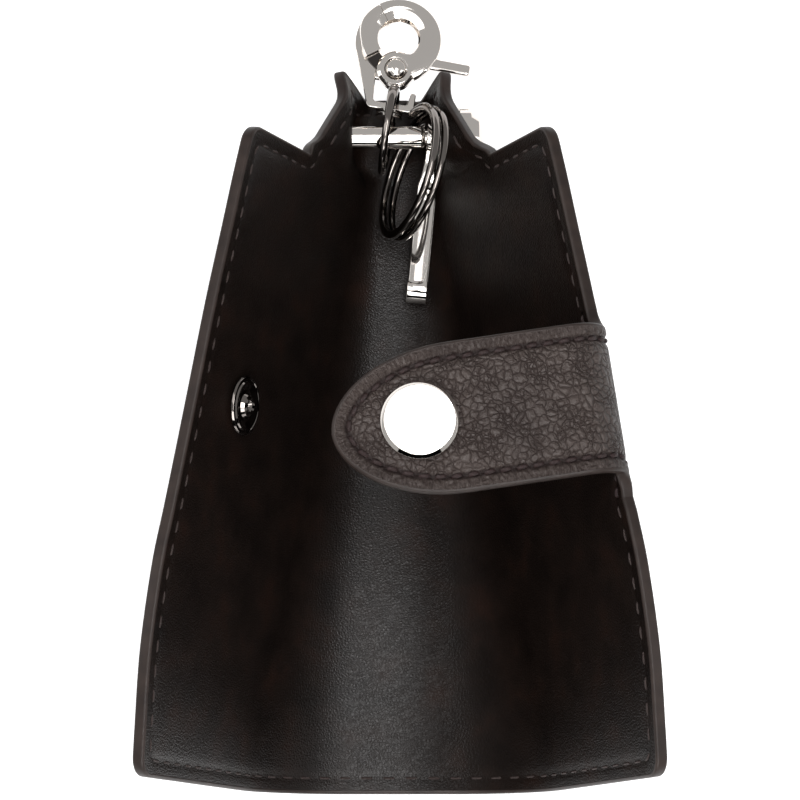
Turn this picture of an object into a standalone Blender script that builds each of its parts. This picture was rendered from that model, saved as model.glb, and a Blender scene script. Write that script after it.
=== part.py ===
"""A leather key pouch lying open on its back: spine down on the table, mouth up.

X runs across the pouch, Y along the spine towards the clasp, Z up out of the mouth.
The origin is on the table, under the spine. All lengths are in metres.
"""

import math

import bpy
import numpy as np
from mathutils import Matrix, Vector

# Leather: an outer ply and a lining with a line of glue between them
LEATHER_THICK = 0.0020
OUTER_PLY = 0.0011
GLUE_LINE = 0.0003
FOLD_GAP = 0.0003

# The open pouch is a cone that narrows towards the neck
APEX_Y = 0.082
BOTTOM_Y = -0.0695
NOTCH_Y = 0.0380
NECK_FULL_Y = 0.0420
NECK_END_Y = 0.0562
NECK_DIP = 0.0015
FLAT_SHARE = 0.055
CURVE_SHARE = 0.1385
WALL_ANGLE = math.radians(68)
FOLD_Z = 0.0261

# The neck: a U between the heads of the post, with edges that flare
NECK_FLAT = 0.0041
NECK_CURVE = 0.0054
NECK_WALL = 0.0091
NECK_SHIFT = -0.0009
FLARE_TURN = 0.0030
FLARE_ANGLE = math.radians(52)

# Past the post the neck opens into a V that ends in two horns
MOUTH_START_Y = 0.0492
MOUTH_FLAT = 0.0022
MOUTH_CURVE = 0.0040
MOUTH_WALL = 0.0126
MOUTH_ANGLE = math.radians(70)
MOUTH_SHIFT = -0.00135
HORN_HALF_ARC = 0.0198

# Wings: flat panels above the fold, measured along it and up from it
WING_NOTCH_U = 0.0380
WING_EAR_U = 0.0364
WING_BOTTOM_U = -0.0716
WING_HEIGHT = 0.0296
EAR_HEIGHT = 0.0226
BOTTOM_CORNER_HEIGHT = 0.0246
CORNER_ROUND = 0.0050
SIDE_SHARES = (
    (0.824, 0.834), (0.697, 0.885), (0.541, 0.926), (0.390, 0.970),
    (0.299, 1.0), (0.174, 0.976), (0.060, 0.889),
)

# Strap: it carries on from the right wing's free edge, bends over and lies level
STRAP_ROOT_V = 0.0255
STRAP_CENTRE_U = -0.0119
STRAP_WIDTH = 0.0242
STRAP_GAP = 0.0005
STRAP_STRAIGHT = 0.0002
STRAP_BEND = 0.0066
STRAP_FLAT = 0.0392
STRAP_POINT = 0.0200
STRAP_POINT_POWER = 0.54

# Snap fastener
SNAP_FROM_TIP = 0.0140
CAP_RADIUS = 0.00625
CAP_THICK = 0.0014
CAP_BEVEL = 0.0006
CAP_POST_RADIUS = 0.0012
LEATHER_HOLE_RADIUS = 0.0016
SEAT_GAP = 0.0003
SOCKET_RADIUS = 0.0052
SOCKET_THICK = 0.0030
SOCKET_CAVITY_RADIUS = 0.0030
SPRING_WIRE_RADIUS = 0.0003
SNAP_SPRING_TURNS = 0.83
STUD_U = -0.0085
STUD_V = 0.0108
STUD_RADIUS = 0.0050
STUD_THICK = 0.0009
STUD_NECK_RADIUS = 0.0021
STUD_BALL_RADIUS = 0.0026
STUD_HEIGHT = 0.0034
STUD_BORE_RADIUS = 0.0015
EYELET_RADIUS = 0.0050
EYELET_THICK = 0.0010
EYELET_BORE_RADIUS = 0.0006

# Post across the neck
POST_Y = 0.0452
POST_Z = 0.0105
BARREL_RADIUS = 0.0020
BARREL_END_X = 0.0044
BARREL_CHAMFER = 0.0006
BARREL_HEAD_RADIUS = 0.0037
BARREL_HEAD_THICK = 0.0020
SCREW_RADIUS = 0.0012
SCREW_OVERLAP = 0.0050
BORE_CLEARANCE = 0.0003
COLLAR_RADIUS = 0.0030
COLLAR_LENGTH = 0.0011
NUT_RADIUS = 0.0054
NUT_LENGTH = 0.0046

# Solid connector ring round the post and the clasp's bar
CONNECTOR_RADIUS = 0.0074
CONNECTOR_WIRE_RADIUS = 0.0008
CONNECTOR_X = -0.0021
CONNECTOR_Y = 0.0465
CONNECTOR_Z = 0.0107
CLASP_YAW = math.radians(9)

# Split ring: two turns of flat wire
SPLIT_RADIUS = 0.01155
SPLIT_WIRE_WIDTH = 0.0012
SPLIT_WIRE_DEPTH = 0.0016
SPLIT_PITCH = 0.0017
SPLIT_TURNS = 2
SPLIT_STEPS = 24
SPLIT_X = 0.00235
SPLIT_Y = 0.03771
SPLIT_Z = 0.01430
SPLIT_AXIS = (0.901, -0.210, -0.379)
SPLIT_LONG = (0.054, 0.922, -0.384)

# Clasp: measured from its rivet, along the clasp and across it
CLASP_X = -0.0007
CLASP_Y = 0.0578
CLASP_Z = 0.0092
CLASP_THICK = 0.0034
CLASP_SLIT = 0.0003
HOOK_CENTRE_ALONG = 0.0053
HOOK_CENTRE_ACROSS = -0.0004
HOOK_OUTER_RADIUS = 0.0077
HOOK_INNER_RADIUS = 0.0033
SEAM_ANGLE = math.radians(38)
JAW_ANGLE = math.radians(150)
ARM_ANGLE = math.radians(112)
SEAM_GAP = math.radians(3)
GATE_OUTER_ANGLE = math.radians(-128)
GATE_INNER_ANGLE = math.radians(-160)
BOSS_RADIUS = 0.0030
CLASP_BAR_TOP = -0.0060
CLASP_BAR_THICK = 0.0012
CLASP_BASE_LEFT = -0.0046
CLASP_BASE_RIGHT = 0.0042
CLASP_ARM_WIDTH = 0.0014
CLASP_ARM_TOP = 0.0008
CLASP_TAB_TOP = -0.0036
RIVET_RADIUS = 0.0012
RIVET_HEAD_RADIUS = 0.0020
RIVET_HEAD_THICK = 0.0009
THUMB_TIP_ACROSS = 0.0130
THUMB_ALONG = 0.0010
THUMB_WIDTH = 0.0022
THUMB_NECK = 0.0058
CLASP_BEVEL = 0.0004
COIL_RADIUS = 0.00185
COIL_WIRE_RADIUS = 0.00013
COIL_PITCH = 0.0003
COIL_TURNS = 2
POCKET_RADIUS = 0.0023
POCKET_DEPTH = 0.0011
BARREL_FLANGE_RADIUS = 0.0024
BARREL_NECK_RADIUS = 0.0011
FLANGE_THICK = 0.0006
FLANGE_COUNT = 2
SWIVEL_LENGTH = 0.0016

# Key hook: a bent flat strip with a leaf spring for a gate
HOOK_X = 0.00555
HOOK_EYE_WIDTH = 0.0015
HOOK_WIDTH = 0.0036
HOOK_THICK = 0.0008
HOOK_EYE_RADIUS = 0.0016
HOOK_LOW_Z = LEATHER_THICK + 2 * SEAT_GAP
HOOK_LENGTH = 0.0285
HOOK_LEVEL_SHARE = 0.78
HOOK_WIDEN_SHARE = 0.3
HOOK_CURL_RADIUS = 0.0021
HOOK_YAW = math.radians(5.5)
LEAF_THICK = 0.0004
LEAF_START_SHARE = 0.30
LEAF_ROOT = 0.0013
LEAF_TIP_GAP = 0.0007
LEAF_RIVET_RADIUS = 0.0006

OVERRUN = 0.0010
ROUND_STEPS = 32


# Materials

def material(name, colour, metallic, roughness):
    made = bpy.data.materials.new(name)
    made.use_nodes = True
    shader = made.node_tree.nodes["Principled BSDF"]
    shader.inputs["Base Color"].default_value = (*colour, 1)
    shader.inputs["Metallic"].default_value = metallic
    shader.inputs["Roughness"].default_value = roughness
    return made


def make_materials():
    return {
        "outer": material("pebbled_leather", (0.022, 0.018, 0.017), 0, 0.55),
        "lining": material("smooth_lining_leather", (0.009, 0.007, 0.007), 0, 0.45),
        "chrome": material("bright_chrome", (0.75, 0.72, 0.69), 1, 0.12),
        "gunmetal": material("black_nickel", (0.12, 0.11, 0.11), 1, 0.18),
        "spring": material("spring_steel", (0.45, 0.43, 0.41), 1, 0.3),
    }


# Mesh tools

def add_object(name, points, faces, finish, origin=(0, 0, 0), smooth=True):
    """Makes one named object from world points; its own origin is where it turns or rests."""
    origin = np.array(origin, float)
    mesh = bpy.data.meshes.new(name)
    mesh.from_pydata([tuple(p) for p in np.asarray(points) - origin], [], [tuple(f) for f in faces])
    mesh.update()
    made = bpy.data.objects.new(name, mesh)
    made.location = origin
    bpy.context.scene.collection.objects.link(made)
    if finish:
        made.data.materials.append(finish)
    if smooth:
        mesh.shade_smooth()
        mesh.set_sharp_from_angle(angle=math.radians(35))
    return made


def tube_faces(rings, count, closed=False, split=0):
    """Faces between neighbouring rings of count points each, with end faces unless it is closed.

    Split is the place in the ring where the outer face ends. It gives the twisted quads of both faces
    the same diagonals, so that two plies keep their distance.
    """
    faces = []
    for ring in range(rings if closed else rings - 1):
        here, there = ring * count, ((ring + 1) % rings) * count
        for i in range(count):
            j = (i + 1) % count
            corners = (here + i, here + j, there + j, there + i)
            if not split:
                faces.append(corners)
            elif i < split:
                faces += [corners[:3], (corners[0], corners[2], corners[3])]
            else:
                faces += [(corners[0], corners[1], corners[3]), corners[1:]]
    if not closed:
        faces.append(tuple(range(count))[::-1])
        faces.append(tuple((rings - 1) * count + i for i in range(count)))
    return faces


def point_outwards(made):
    """Turns every face of a closed mesh to point outwards."""
    mesh = made.data
    mesh.calc_loop_triangles()
    corners = [[mesh.vertices[i].co for i in t.vertices] for t in mesh.loop_triangles]
    volume = sum(a.dot(b.cross(c)) for a, b, c in corners)
    if volume < 0:
        mesh.flip_normals()
    return made


def lofted(name, rings, finish, origin=(0, 0, 0), closed=False, split=0):
    rings = np.asarray(rings)
    faces = tube_faces(len(rings), rings.shape[1], closed, split)
    return point_outwards(add_object(name, rings.reshape(-1, 3), faces, finish, origin))


def frame_matrix(centre, axis, across=None):
    """Places a shape made round Z at a centre, along an axis."""
    z = Vector(axis).normalized()
    x = Vector(across) if across is not None else z.orthogonal()
    x = (x - z * x.dot(z)).normalized()
    y = z.cross(x)
    turned = Matrix((x, y, z)).transposed().to_4x4()
    return Matrix.Translation(Vector(centre)) @ turned


def turned(name, profile, centre, axis, finish, steps=ROUND_STEPS, closed=False):
    """Turns a profile of (radius, height) points round an axis. A closed profile makes a ring."""
    place = frame_matrix(centre, axis)
    ways = [(math.cos(a), math.sin(a)) for a in np.arange(steps) * 2 * math.pi / steps]
    rings = []
    for radius, height in profile:
        if radius == 0:
            rings.append([place @ Vector((0, 0, height))])
        else:
            rings.append([place @ Vector((radius * c, radius * s, height)) for c, s in ways])
    points = [p for ring in rings for p in ring]
    starts = np.cumsum([0] + [len(ring) for ring in rings])
    pairs = list(zip(range(len(rings) - 1), range(1, len(rings))))
    if closed:
        pairs.append((len(rings) - 1, 0))
    faces = []
    for low, high in pairs:
        for i in range(steps):
            j = (i + 1) % steps
            a, b = starts[low], starts[high]
            if len(rings[low]) == 1:
                faces.append((a, b + j, b + i))
            elif len(rings[high]) == 1:
                faces.append((a + i, a + j, b))
            else:
                faces.append((a + i, a + j, b + j, b + i))
    return point_outwards(add_object(name, points, faces, finish, centre))


def cylinder_cutter(name, start, end, radius):
    axis = Vector(end) - Vector(start)
    cutter = turned(name, [(0, 0), (radius, 0), (radius, axis.length), (0, axis.length)], start, axis, None)
    cutter.hide_render = True
    cutter.display_type = "WIRE"
    return cutter


def cut(target, cutter):
    step = target.modifiers.new("cut_" + cutter.name, "BOOLEAN")
    step.object = cutter
    step.operation = "DIFFERENCE"
    step.solver = "EXACT"


def rounded(points, radii, steps=6):
    """A closed outline whose corners are rounded: each corner is an arc tangent to its two sides."""
    points = [np.array(p, float) for p in points]
    out = []
    for i, corner in enumerate(points):
        radius = radii[i]
        if radius == 0:
            out.append(corner)
            continue
        before, after = points[i - 1] - corner, points[(i + 1) % len(points)] - corner
        reach_before, reach_after = np.linalg.norm(before), np.linalg.norm(after)
        before, after = before / reach_before, after / reach_after
        half = math.acos(np.clip(before @ after, -1, 1)) / 2
        trim = min(radius / math.tan(half), reach_before / 2, reach_after / 2)
        radius = trim * math.tan(half)
        middle = (before + after) / np.linalg.norm(before + after)
        centre = corner + middle * radius / math.sin(half)
        start, end = corner + before * trim - centre, corner + after * trim - centre
        sweep = math.atan2(start[0] * end[1] - start[1] * end[0], start @ end)
        for k in range(steps + 1):
            a = sweep * k / steps
            out.append(centre + np.array([start[0] * math.cos(a) - start[1] * math.sin(a),
                                          start[0] * math.sin(a) + start[1] * math.cos(a)]))
    return out


# The leather surface

def mix(a, b, share):
    return a + (b - a) * share


def eased(y, start, end):
    t = min(max((y - start) / (end - start), 0), 1)
    return t * t * (3 - 2 * t)


def section_at(y, cone, neck, mouth):
    """A measure of the section: the cone's up to the notch, then the neck's U, then the mouth's V."""
    value = mix(cone, neck, eased(y, NOTCH_Y, NECK_FULL_Y))
    return mix(value, mouth, eased(y, MOUTH_START_Y, NECK_END_Y))


def section_plan(y):
    """The half section at y as (length, first angle, last angle): flat, curve, wall, flare and edge."""
    height = APEX_Y - y
    flat = section_at(y, FLAT_SHARE * height, NECK_FLAT, MOUTH_FLAT)
    curve = section_at(y, CURVE_SHARE * height, NECK_CURVE, MOUTH_CURVE)
    wall = section_at(y, WALL_ANGLE, math.pi / 2, MOUTH_ANGLE)
    edge = section_at(y, WALL_ANGLE, FLARE_ANGLE, MOUTH_ANGLE)
    reach = section_at(y, NECK_WALL, NECK_WALL, MOUTH_WALL)
    bends = [(flat, 0, 0), (curve * wall, 0, wall)]
    return bends + [(reach, wall, wall), (FLARE_TURN, wall, edge), (APEX_Y, edge, edge)]


def follow(plan, arc, depth):
    """Walks an arc length along a plan and returns (across, up), depth below the outer face."""
    side, arc = (-1 if arc < 0 else 1), abs(arc)
    across = up = angle = 0
    for length, first, last in plan:
        part = min(arc, length)
        bend = (last - first) / length
        angle = first + bend * part
        if bend:
            across += (math.sin(angle) - math.sin(first)) / bend
            up += (math.cos(first) - math.cos(angle)) / bend
        else:
            across += part * math.cos(first)
            up += part * math.sin(first)
        arc -= part
        if arc <= 0:
            break
    across -= depth * math.sin(angle)
    up += depth * math.cos(angle)
    return side * across, up


def back_point(y, arc, depth):
    across, up = follow(section_plan(y), arc, depth)
    return (across + section_at(y, 0, NECK_SHIFT, MOUTH_SHIFT), y, up)


def fold_arc(y):
    """Arc length from the spine to the fold line, where the wall is FOLD_Z up."""
    flat, curve, *_ = section_plan(min(y, NOTCH_Y))
    wall_start = curve[0] / WALL_ANGLE * (1 - math.cos(WALL_ANGLE))
    return flat[0] + curve[0] + (FOLD_Z - wall_start) / math.sin(WALL_ANGLE)


def bulge(depth):
    """How far a rounded edge reaches past the start of its rounding, at a depth."""
    half = LEATHER_THICK / 2
    return math.sqrt(max(half * half - (depth - half) ** 2, 0))


def back_edge_arc(y, depth):
    """The side edge of the back: the fold line up to the notch, then the neck's slanting edge."""
    if y <= NOTCH_Y:
        arc = fold_arc(y)
    else:
        arc = mix(fold_arc(NOTCH_Y), HORN_HALF_ARC, (y - NOTCH_Y) / (NECK_END_Y - NOTCH_Y))
    return arc - FOLD_GAP / 2 - LEATHER_THICK / 2 + bulge(depth)


def back_rows():
    cone = [BOTTOM_Y, mix(BOTTOM_Y, NOTCH_Y, 0.5), NOTCH_Y]
    neck = [mix(NOTCH_Y, NECK_FULL_Y, k / 6) for k in range(1, 7)]
    end = [mix(NECK_FULL_Y, MOUTH_START_Y, 0.5)] + [mix(MOUTH_START_Y, NECK_END_Y, k / 6) for k in range(7)]
    return cone + neck + end


def back_ply(name, depths, finish):
    """One ply of the back. Each row is a closed ring: outer face, rounded edge, inner face, rounded edge."""
    curve_steps = 6
    first, last = depths[0], depths[-1]
    rings = []
    for y in back_rows():
        plan = section_plan(y)
        flat, curve = plan[0][0], plan[1][0]
        end = back_edge_arc(y, 0)
        arcs = [flat + curve * k / curve_steps for k in range(curve_steps + 1)]
        wall = end - flat - curve
        reach = plan[2][0]
        wall_ends = (reach / 2, reach, reach + FLARE_TURN / 2, reach + FLARE_TURN)
        arcs += [flat + curve + min(a, wall * share) for a, share in zip(wall_ends, (0.5, 0.94, 0.96, 0.98))]
        arcs = [-a for a in arcs[::-1]] + [0] + arcs
        late = max(0, (y - NECK_FULL_Y) / (NECK_END_Y - NECK_FULL_Y))
        ring = []
        route = [(-back_edge_arc(y, first), first)] + [(a, first) for a in arcs]
        route += [(back_edge_arc(y, d), d) for d in depths] + [(a, last) for a in arcs[::-1]]
        route += [(-back_edge_arc(y, d), d) for d in depths[:0:-1]]
        for arc, depth in route:
            dip = NECK_DIP * late * late * (1 - (arc / HORN_HALF_ARC) ** 4)
            x, _, z = back_point(y, arc, depth)
            ring.append((x, y - max(dip, 0), z))
        rings.append(ring)
    return lofted(name, rings, finish, split=1 + len(arcs) + len(depths) // 2)


# Wing frame: along the fold, up the wall, and out of it
RISE = CURVE_SHARE * math.tan(WALL_ANGLE / 2) + FLAT_SHARE
ALONG = np.array([-RISE, 1, 0]) / math.hypot(RISE, 1)
WALL = np.array([math.cos(WALL_ANGLE), 0, math.sin(WALL_ANGLE)])
OUTWARD = np.cross(ALONG, WALL) / np.linalg.norm(np.cross(ALONG, WALL))
UPWARD = np.cross(OUTWARD, ALONG)
LEVEL = np.array([ALONG[1], -ALONG[0], 0])
WING_SLOPE = math.atan2(UPWARD[2], UPWARD @ LEVEL)
FOLD_START = np.array([RISE * APEX_Y + FOLD_Z / math.tan(WALL_ANGLE), 0, FOLD_Z])


def mirrored(point, side):
    return (point[0] * side, point[1], point[2])


def wing_point(u, v, depth, side):
    return mirrored(FOLD_START + ALONG * u + UPWARD * v - OUTWARD * depth, side)


def wing_outline(side):
    """The wing's outline from the notch round its free edge to the bottom, without the fold edge."""
    length = WING_NOTCH_U - WING_BOTTOM_U
    edge = [(WING_BOTTOM_U + length * a, WING_HEIGHT * b) for a, b in SIDE_SHARES]
    if side > 0:
        top = STRAP_CENTRE_U + STRAP_WIDTH / 2
        bottom = STRAP_CENTRE_U - STRAP_WIDTH / 2
        root = [(top, STRAP_ROOT_V), (bottom, STRAP_ROOT_V)]
        edge = [p for p in edge if p[0] > top] + root + [p for p in edge if p[0] < bottom]
    bottom_u = (BOTTOM_Y - EAR_HEIGHT * UPWARD[1]) / ALONG[1]
    corners = [(WING_NOTCH_U, 0), (WING_EAR_U, EAR_HEIGHT)] + edge
    corners += [(bottom_u, BOTTOM_CORNER_HEIGHT), (BOTTOM_Y / ALONG[1], 0)]
    radii = [0, CORNER_ROUND] + [0] * len(edge) + [CORNER_ROUND, 0]
    return rounded(corners, radii)


def wing_ply(name, depths, side, finish):
    layers = []
    for depth in depths:
        low = FOLD_GAP / 2 + LEATHER_THICK / 2 - bulge(depth)
        layers.append([wing_point(u, max(v, low), depth, side) for u, v in wing_outline(side)])
    origin = wing_point(0, 0, LEATHER_THICK / 2, side)
    return lofted(name, layers, finish, origin)


def strap_plan():
    slope, level = WING_SLOPE, math.pi
    bend = STRAP_BEND * (level - slope)
    return [(STRAP_STRAIGHT, slope, slope), (bend, slope, level), (STRAP_FLAT, level, level)]


def strap_point(u, arc, depth):
    """A point of the strap: the same way along the fold as the wing, and up and over across it."""
    across, up = follow(strap_plan(), arc, depth)
    root = FOLD_START + ALONG * u + UPWARD * (STRAP_ROOT_V + STRAP_GAP)
    return root + LEVEL * across + np.array([0, 0, up])


def strap_length():
    return sum(length for length, _, _ in strap_plan())


def strap_half_width(arc):
    from_tip = strap_length() - arc
    if from_tip >= STRAP_POINT:
        return STRAP_WIDTH / 2
    return STRAP_WIDTH / 2 * (1 - (1 - from_tip / STRAP_POINT) ** 2) ** STRAP_POINT_POWER


def strap_ply(name, depths, finish):
    bend_steps, tip_steps = 8, 9
    straight, bend, _ = (length for length, _, _ in strap_plan())
    arcs = [0] + [straight + bend * k / bend_steps for k in range(bend_steps + 1)]
    tip = strap_length() - STRAP_POINT
    arcs += [tip + STRAP_POINT * math.sin(math.pi / 2 * k / (tip_steps + 0.6)) for k in range(tip_steps + 1)]
    rings = []
    for arc in arcs:
        half = strap_half_width(arc)
        left, right = STRAP_CENTRE_U - half, STRAP_CENTRE_U + half
        corners = [(left, depths[0]), (right, depths[0]), (right, depths[-1]), (left, depths[-1])]
        rings.append([strap_point(u, arc, depth) for u, depth in corners])
    return lofted(name, rings, finish, strap_point(STRAP_CENTRE_U, 0, 0))


def make_leather(finish):
    outer_depths = [0, OUTER_PLY * 0.4, OUTER_PLY]
    lining_top = OUTER_PLY + GLUE_LINE
    lining_depths = [lining_top, mix(lining_top, LEATHER_THICK, 0.7), LEATHER_THICK]
    made = {}
    for part, depths, look in (("shell", outer_depths, "outer"), ("lining", lining_depths, "lining")):
        made[part + "_back"] = back_ply(part + "_back", depths, finish[look])
        made[part + "_left"] = wing_ply(part + "_left", depths, -1, finish[look])
        made[part + "_right"] = wing_ply(part + "_right", depths, 1, finish[look])
    made["strap_outer"] = strap_ply("strap_outer", outer_depths, finish["outer"])
    made["strap_lining"] = strap_ply("strap_lining", lining_depths, finish["lining"])
    return made


# Snap fastener

def make_snap_cap(leather, finish):
    """Cap on the strap with its post through the leather, and the socket and spring below."""
    arc = strap_length() - SNAP_FROM_TIP
    seat = Vector(strap_point(STRAP_CENTRE_U, arc, 0))
    up = (0, 0, 1)
    foot = -LEATHER_THICK - SEAT_GAP * 2 - SOCKET_THICK * 0.3
    base = SEAT_GAP
    cap = [(0, foot), (CAP_POST_RADIUS, foot), (CAP_POST_RADIUS, base), (CAP_RADIUS - CAP_BEVEL, base),
           (CAP_RADIUS, base + CAP_BEVEL), (CAP_RADIUS, base + CAP_THICK - CAP_BEVEL),
           (CAP_RADIUS - CAP_BEVEL, base + CAP_THICK), (0, base + CAP_THICK)]
    turned("snap_cap", cap, seat, up, finish["chrome"])
    top = -LEATHER_THICK - SEAT_GAP
    low = top - SOCKET_THICK
    inner = CAP_POST_RADIUS + SEAT_GAP
    floor = top - SOCKET_THICK * 0.3
    groove = SPRING_WIRE_RADIUS + SEAT_GAP
    middle = mix(floor, low, 0.5)
    socket = [(inner, top), (SOCKET_RADIUS, top), (SOCKET_RADIUS, mix(top, low, 0.45)),
              (SOCKET_CAVITY_RADIUS + groove * 2.2, low), (SOCKET_CAVITY_RADIUS, low),
              (SOCKET_CAVITY_RADIUS, middle - groove), (SOCKET_CAVITY_RADIUS + groove, middle - groove),
              (SOCKET_CAVITY_RADIUS + groove, middle + groove), (SOCKET_CAVITY_RADIUS, middle + groove),
              (SOCKET_CAVITY_RADIUS, floor), (inner, floor)]
    turned("snap_socket", socket, seat, up, finish["gunmetal"], closed=True)
    centre = Vector((seat.x, seat.y, seat.z + middle))
    radius = SOCKET_CAVITY_RADIUS - SPRING_WIRE_RADIUS * 0.2
    coil("snap_spring", centre, up, radius, SPRING_WIRE_RADIUS, 0, SNAP_SPRING_TURNS, finish["spring"])
    reach = Vector((0, 0, LEATHER_THICK + OVERRUN))
    cutter = cylinder_cutter("snap_hole", seat - reach, seat + reach, LEATHER_HOLE_RADIUS)
    for name in ("strap_outer", "strap_lining"):
        cut(leather[name], cutter)


def coil(name, centre, axis, radius, wire, pitch, turns, finish, steps=18, sides=6):
    """Round wire wound round an axis, rising one pitch in each turn."""
    place = frame_matrix(centre, axis)
    count = math.ceil(turns * steps)
    ways = [2 * math.pi * i / sides for i in range(sides)]
    rings = []
    for k in range(count + 1):
        share = turns * k / count
        c, s = math.cos(2 * math.pi * share), math.sin(2 * math.pi * share)
        section = [(radius + wire * math.cos(b), pitch * share + wire * math.sin(b)) for b in ways]
        rings.append([place @ Vector((r * c, r * s, h)) for r, h in section])
    return lofted(name, rings, finish, centre)


def make_snap_stud(leather, finish):
    """Stud on the outside of the left wing, held by an eyelet whose barrel comes through from the lining."""
    outside = Vector(wing_point(STUD_U, STUD_V, 0, -1))
    inside = Vector(wing_point(STUD_U, STUD_V, LEATHER_THICK, -1))
    out = (outside - inside).normalized()
    base, top = SEAT_GAP, SEAT_GAP + STUD_HEIGHT
    ball = mix(base + STUD_THICK, top, 0.62)
    brim = base + STUD_THICK
    stud = [(STUD_BORE_RADIUS, base), (STUD_RADIUS, base), (STUD_RADIUS, base + STUD_THICK * 0.5),
            (STUD_RADIUS - STUD_THICK, brim), (STUD_NECK_RADIUS, brim), (STUD_BALL_RADIUS, ball),
            (STUD_BALL_RADIUS * 0.8, top), (STUD_BORE_RADIUS, top)]
    turned("snap_stud", stud, outside, out, finish["gunmetal"], closed=True)
    barrel = STUD_BORE_RADIUS - SEAT_GAP
    tail = -LEATHER_THICK - SEAT_GAP - STUD_HEIGHT * 0.8
    face, rim = SEAT_GAP, SEAT_GAP + EYELET_THICK
    eyelet = [(EYELET_BORE_RADIUS, tail + face * 2), (barrel, tail + face * 2), (barrel, face),
              (EYELET_RADIUS - EYELET_THICK * 0.4, face), (EYELET_RADIUS, face + EYELET_THICK * 0.3),
              (EYELET_RADIUS - EYELET_THICK * 0.6, rim), (EYELET_RADIUS * 0.62, rim - EYELET_THICK * 0.3),
              (EYELET_BORE_RADIUS * 2.5, rim), (EYELET_BORE_RADIUS, rim - EYELET_THICK * 0.4)]
    turned("snap_eyelet", eyelet, inside, -out, finish["gunmetal"], closed=True)
    reach = out * OVERRUN
    cutter = cylinder_cutter("stud_hole", inside - reach, outside + reach, LEATHER_HOLE_RADIUS)
    for name in ("shell_left", "lining_left"):
        cut(leather[name], cutter)


# Post, rings

def wall_outer_x(side):
    return NECK_SHIFT + side * (NECK_FLAT + NECK_CURVE)


def make_post(leather, finish):
    """A barrel from the left wall and a screw into it from the right, with heads outside both walls."""
    left, right = wall_outer_x(-1), wall_outer_x(1)
    centre = (0, POST_Y, POST_Z)
    head = left - SEAT_GAP
    bore = SCREW_RADIUS + BORE_CLEARANCE
    bore_end = BARREL_END_X - SCREW_OVERLAP - BORE_CLEARANCE
    brow, face = head - BARREL_HEAD_THICK * 0.4, head - BARREL_HEAD_THICK
    rim = BARREL_END_X - BARREL_CHAMFER
    barrel = [(0, face), (BARREL_HEAD_RADIUS * 0.6, face), (BARREL_HEAD_RADIUS, brow),
              (BARREL_HEAD_RADIUS, head), (BARREL_RADIUS, head), (BARREL_RADIUS, rim),
              (BARREL_RADIUS - BARREL_CHAMFER * 0.7, BARREL_END_X), (bore, BARREL_END_X), (bore, bore_end),
              (0, bore_end)]
    turned("post_barrel", barrel, centre, (1, 0, 0), finish["chrome"])
    seat = right + SEAT_GAP
    nut = seat + COLLAR_LENGTH
    start, end = BARREL_END_X - SCREW_OVERLAP, nut + NUT_LENGTH
    screw = [(0, start), (SCREW_RADIUS, start), (SCREW_RADIUS, seat), (COLLAR_RADIUS, seat),
             (COLLAR_RADIUS, nut), (NUT_RADIUS * 0.93, nut), (NUT_RADIUS, nut + NUT_LENGTH * 0.12),
             (NUT_RADIUS, nut + NUT_LENGTH * 0.55), (NUT_RADIUS * 0.82, nut + NUT_LENGTH * 0.86),
             (NUT_RADIUS * 0.45, end), (0, end)]
    turned("post_screw", screw, centre, (1, 0, 0), finish["chrome"])
    for side, name, radius in ((-1, "barrel_hole", BARREL_RADIUS), (1, "screw_hole", SCREW_RADIUS)):
        wall = wall_outer_x(side)
        outside = (wall + side * OVERRUN, POST_Y, POST_Z)
        inside = (wall - side * (LEATHER_THICK + OVERRUN), POST_Y, POST_Z)
        cutter = cylinder_cutter(name, outside, inside, radius + BORE_CLEARANCE)
        for ply in ("shell_back", "lining_back"):
            cut(leather[ply], cutter)


def clasp_axes():
    along = np.array([math.sin(CLASP_YAW), math.cos(CLASP_YAW), 0])
    across = np.array([math.cos(CLASP_YAW), -math.sin(CLASP_YAW), 0])
    return along, across


def make_connector_ring(finish):
    along, across = clasp_axes()
    centre = np.array([CONNECTOR_X, CONNECTOR_Y, CONNECTOR_Z])
    steps, sides = 32, 10
    wire = CONNECTOR_WIRE_RADIUS
    turns = [2 * math.pi * i / sides for i in range(sides)]
    rings = []
    for k in range(steps):
        a = 2 * math.pi * k / steps
        out = along * math.cos(a) + np.array([0, 0, math.sin(a)])
        middle = centre + out * CONNECTOR_RADIUS
        rings.append([middle + wire * (out * math.cos(b) + across * math.sin(b)) for b in turns])
    lofted("connector_ring", rings, finish["gunmetal"], centre, closed=True)


def make_split_ring(finish):
    """Flat wire wound twice round, stepping one pitch along the ring's axis in each turn."""
    centre = (SPLIT_X, SPLIT_Y, SPLIT_Z)
    place = frame_matrix(centre, SPLIT_AXIS, SPLIT_LONG)
    count = SPLIT_TURNS * SPLIT_STEPS
    w, d = SPLIT_WIRE_WIDTH / 2, SPLIT_WIRE_DEPTH / 2
    soft = 0.55
    corners = [(d, -w * soft), (d, w * soft), (d * soft, w), (-d * soft, w)]
    corners += [(-d, w * soft), (-d, -w * soft), (-d * soft, -w), (d * soft, -w)]
    rings = []
    for k in range(count + 1):
        turns = k / SPLIT_STEPS - SPLIT_TURNS / 2
        a = 2 * math.pi * turns
        radii = [(SPLIT_RADIUS + p, SPLIT_PITCH * turns + q) for p, q in corners]
        rings.append([place @ Vector((r * math.cos(a), r * math.sin(a), h)) for r, h in radii])
    lofted("split_ring", rings, finish["gunmetal"], centre)


# Clasp

def clasp_place(a, b, up=0):
    along, across = clasp_axes()
    return np.array([CLASP_X, CLASP_Y, CLASP_Z + up]) + along * a + across * b


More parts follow.
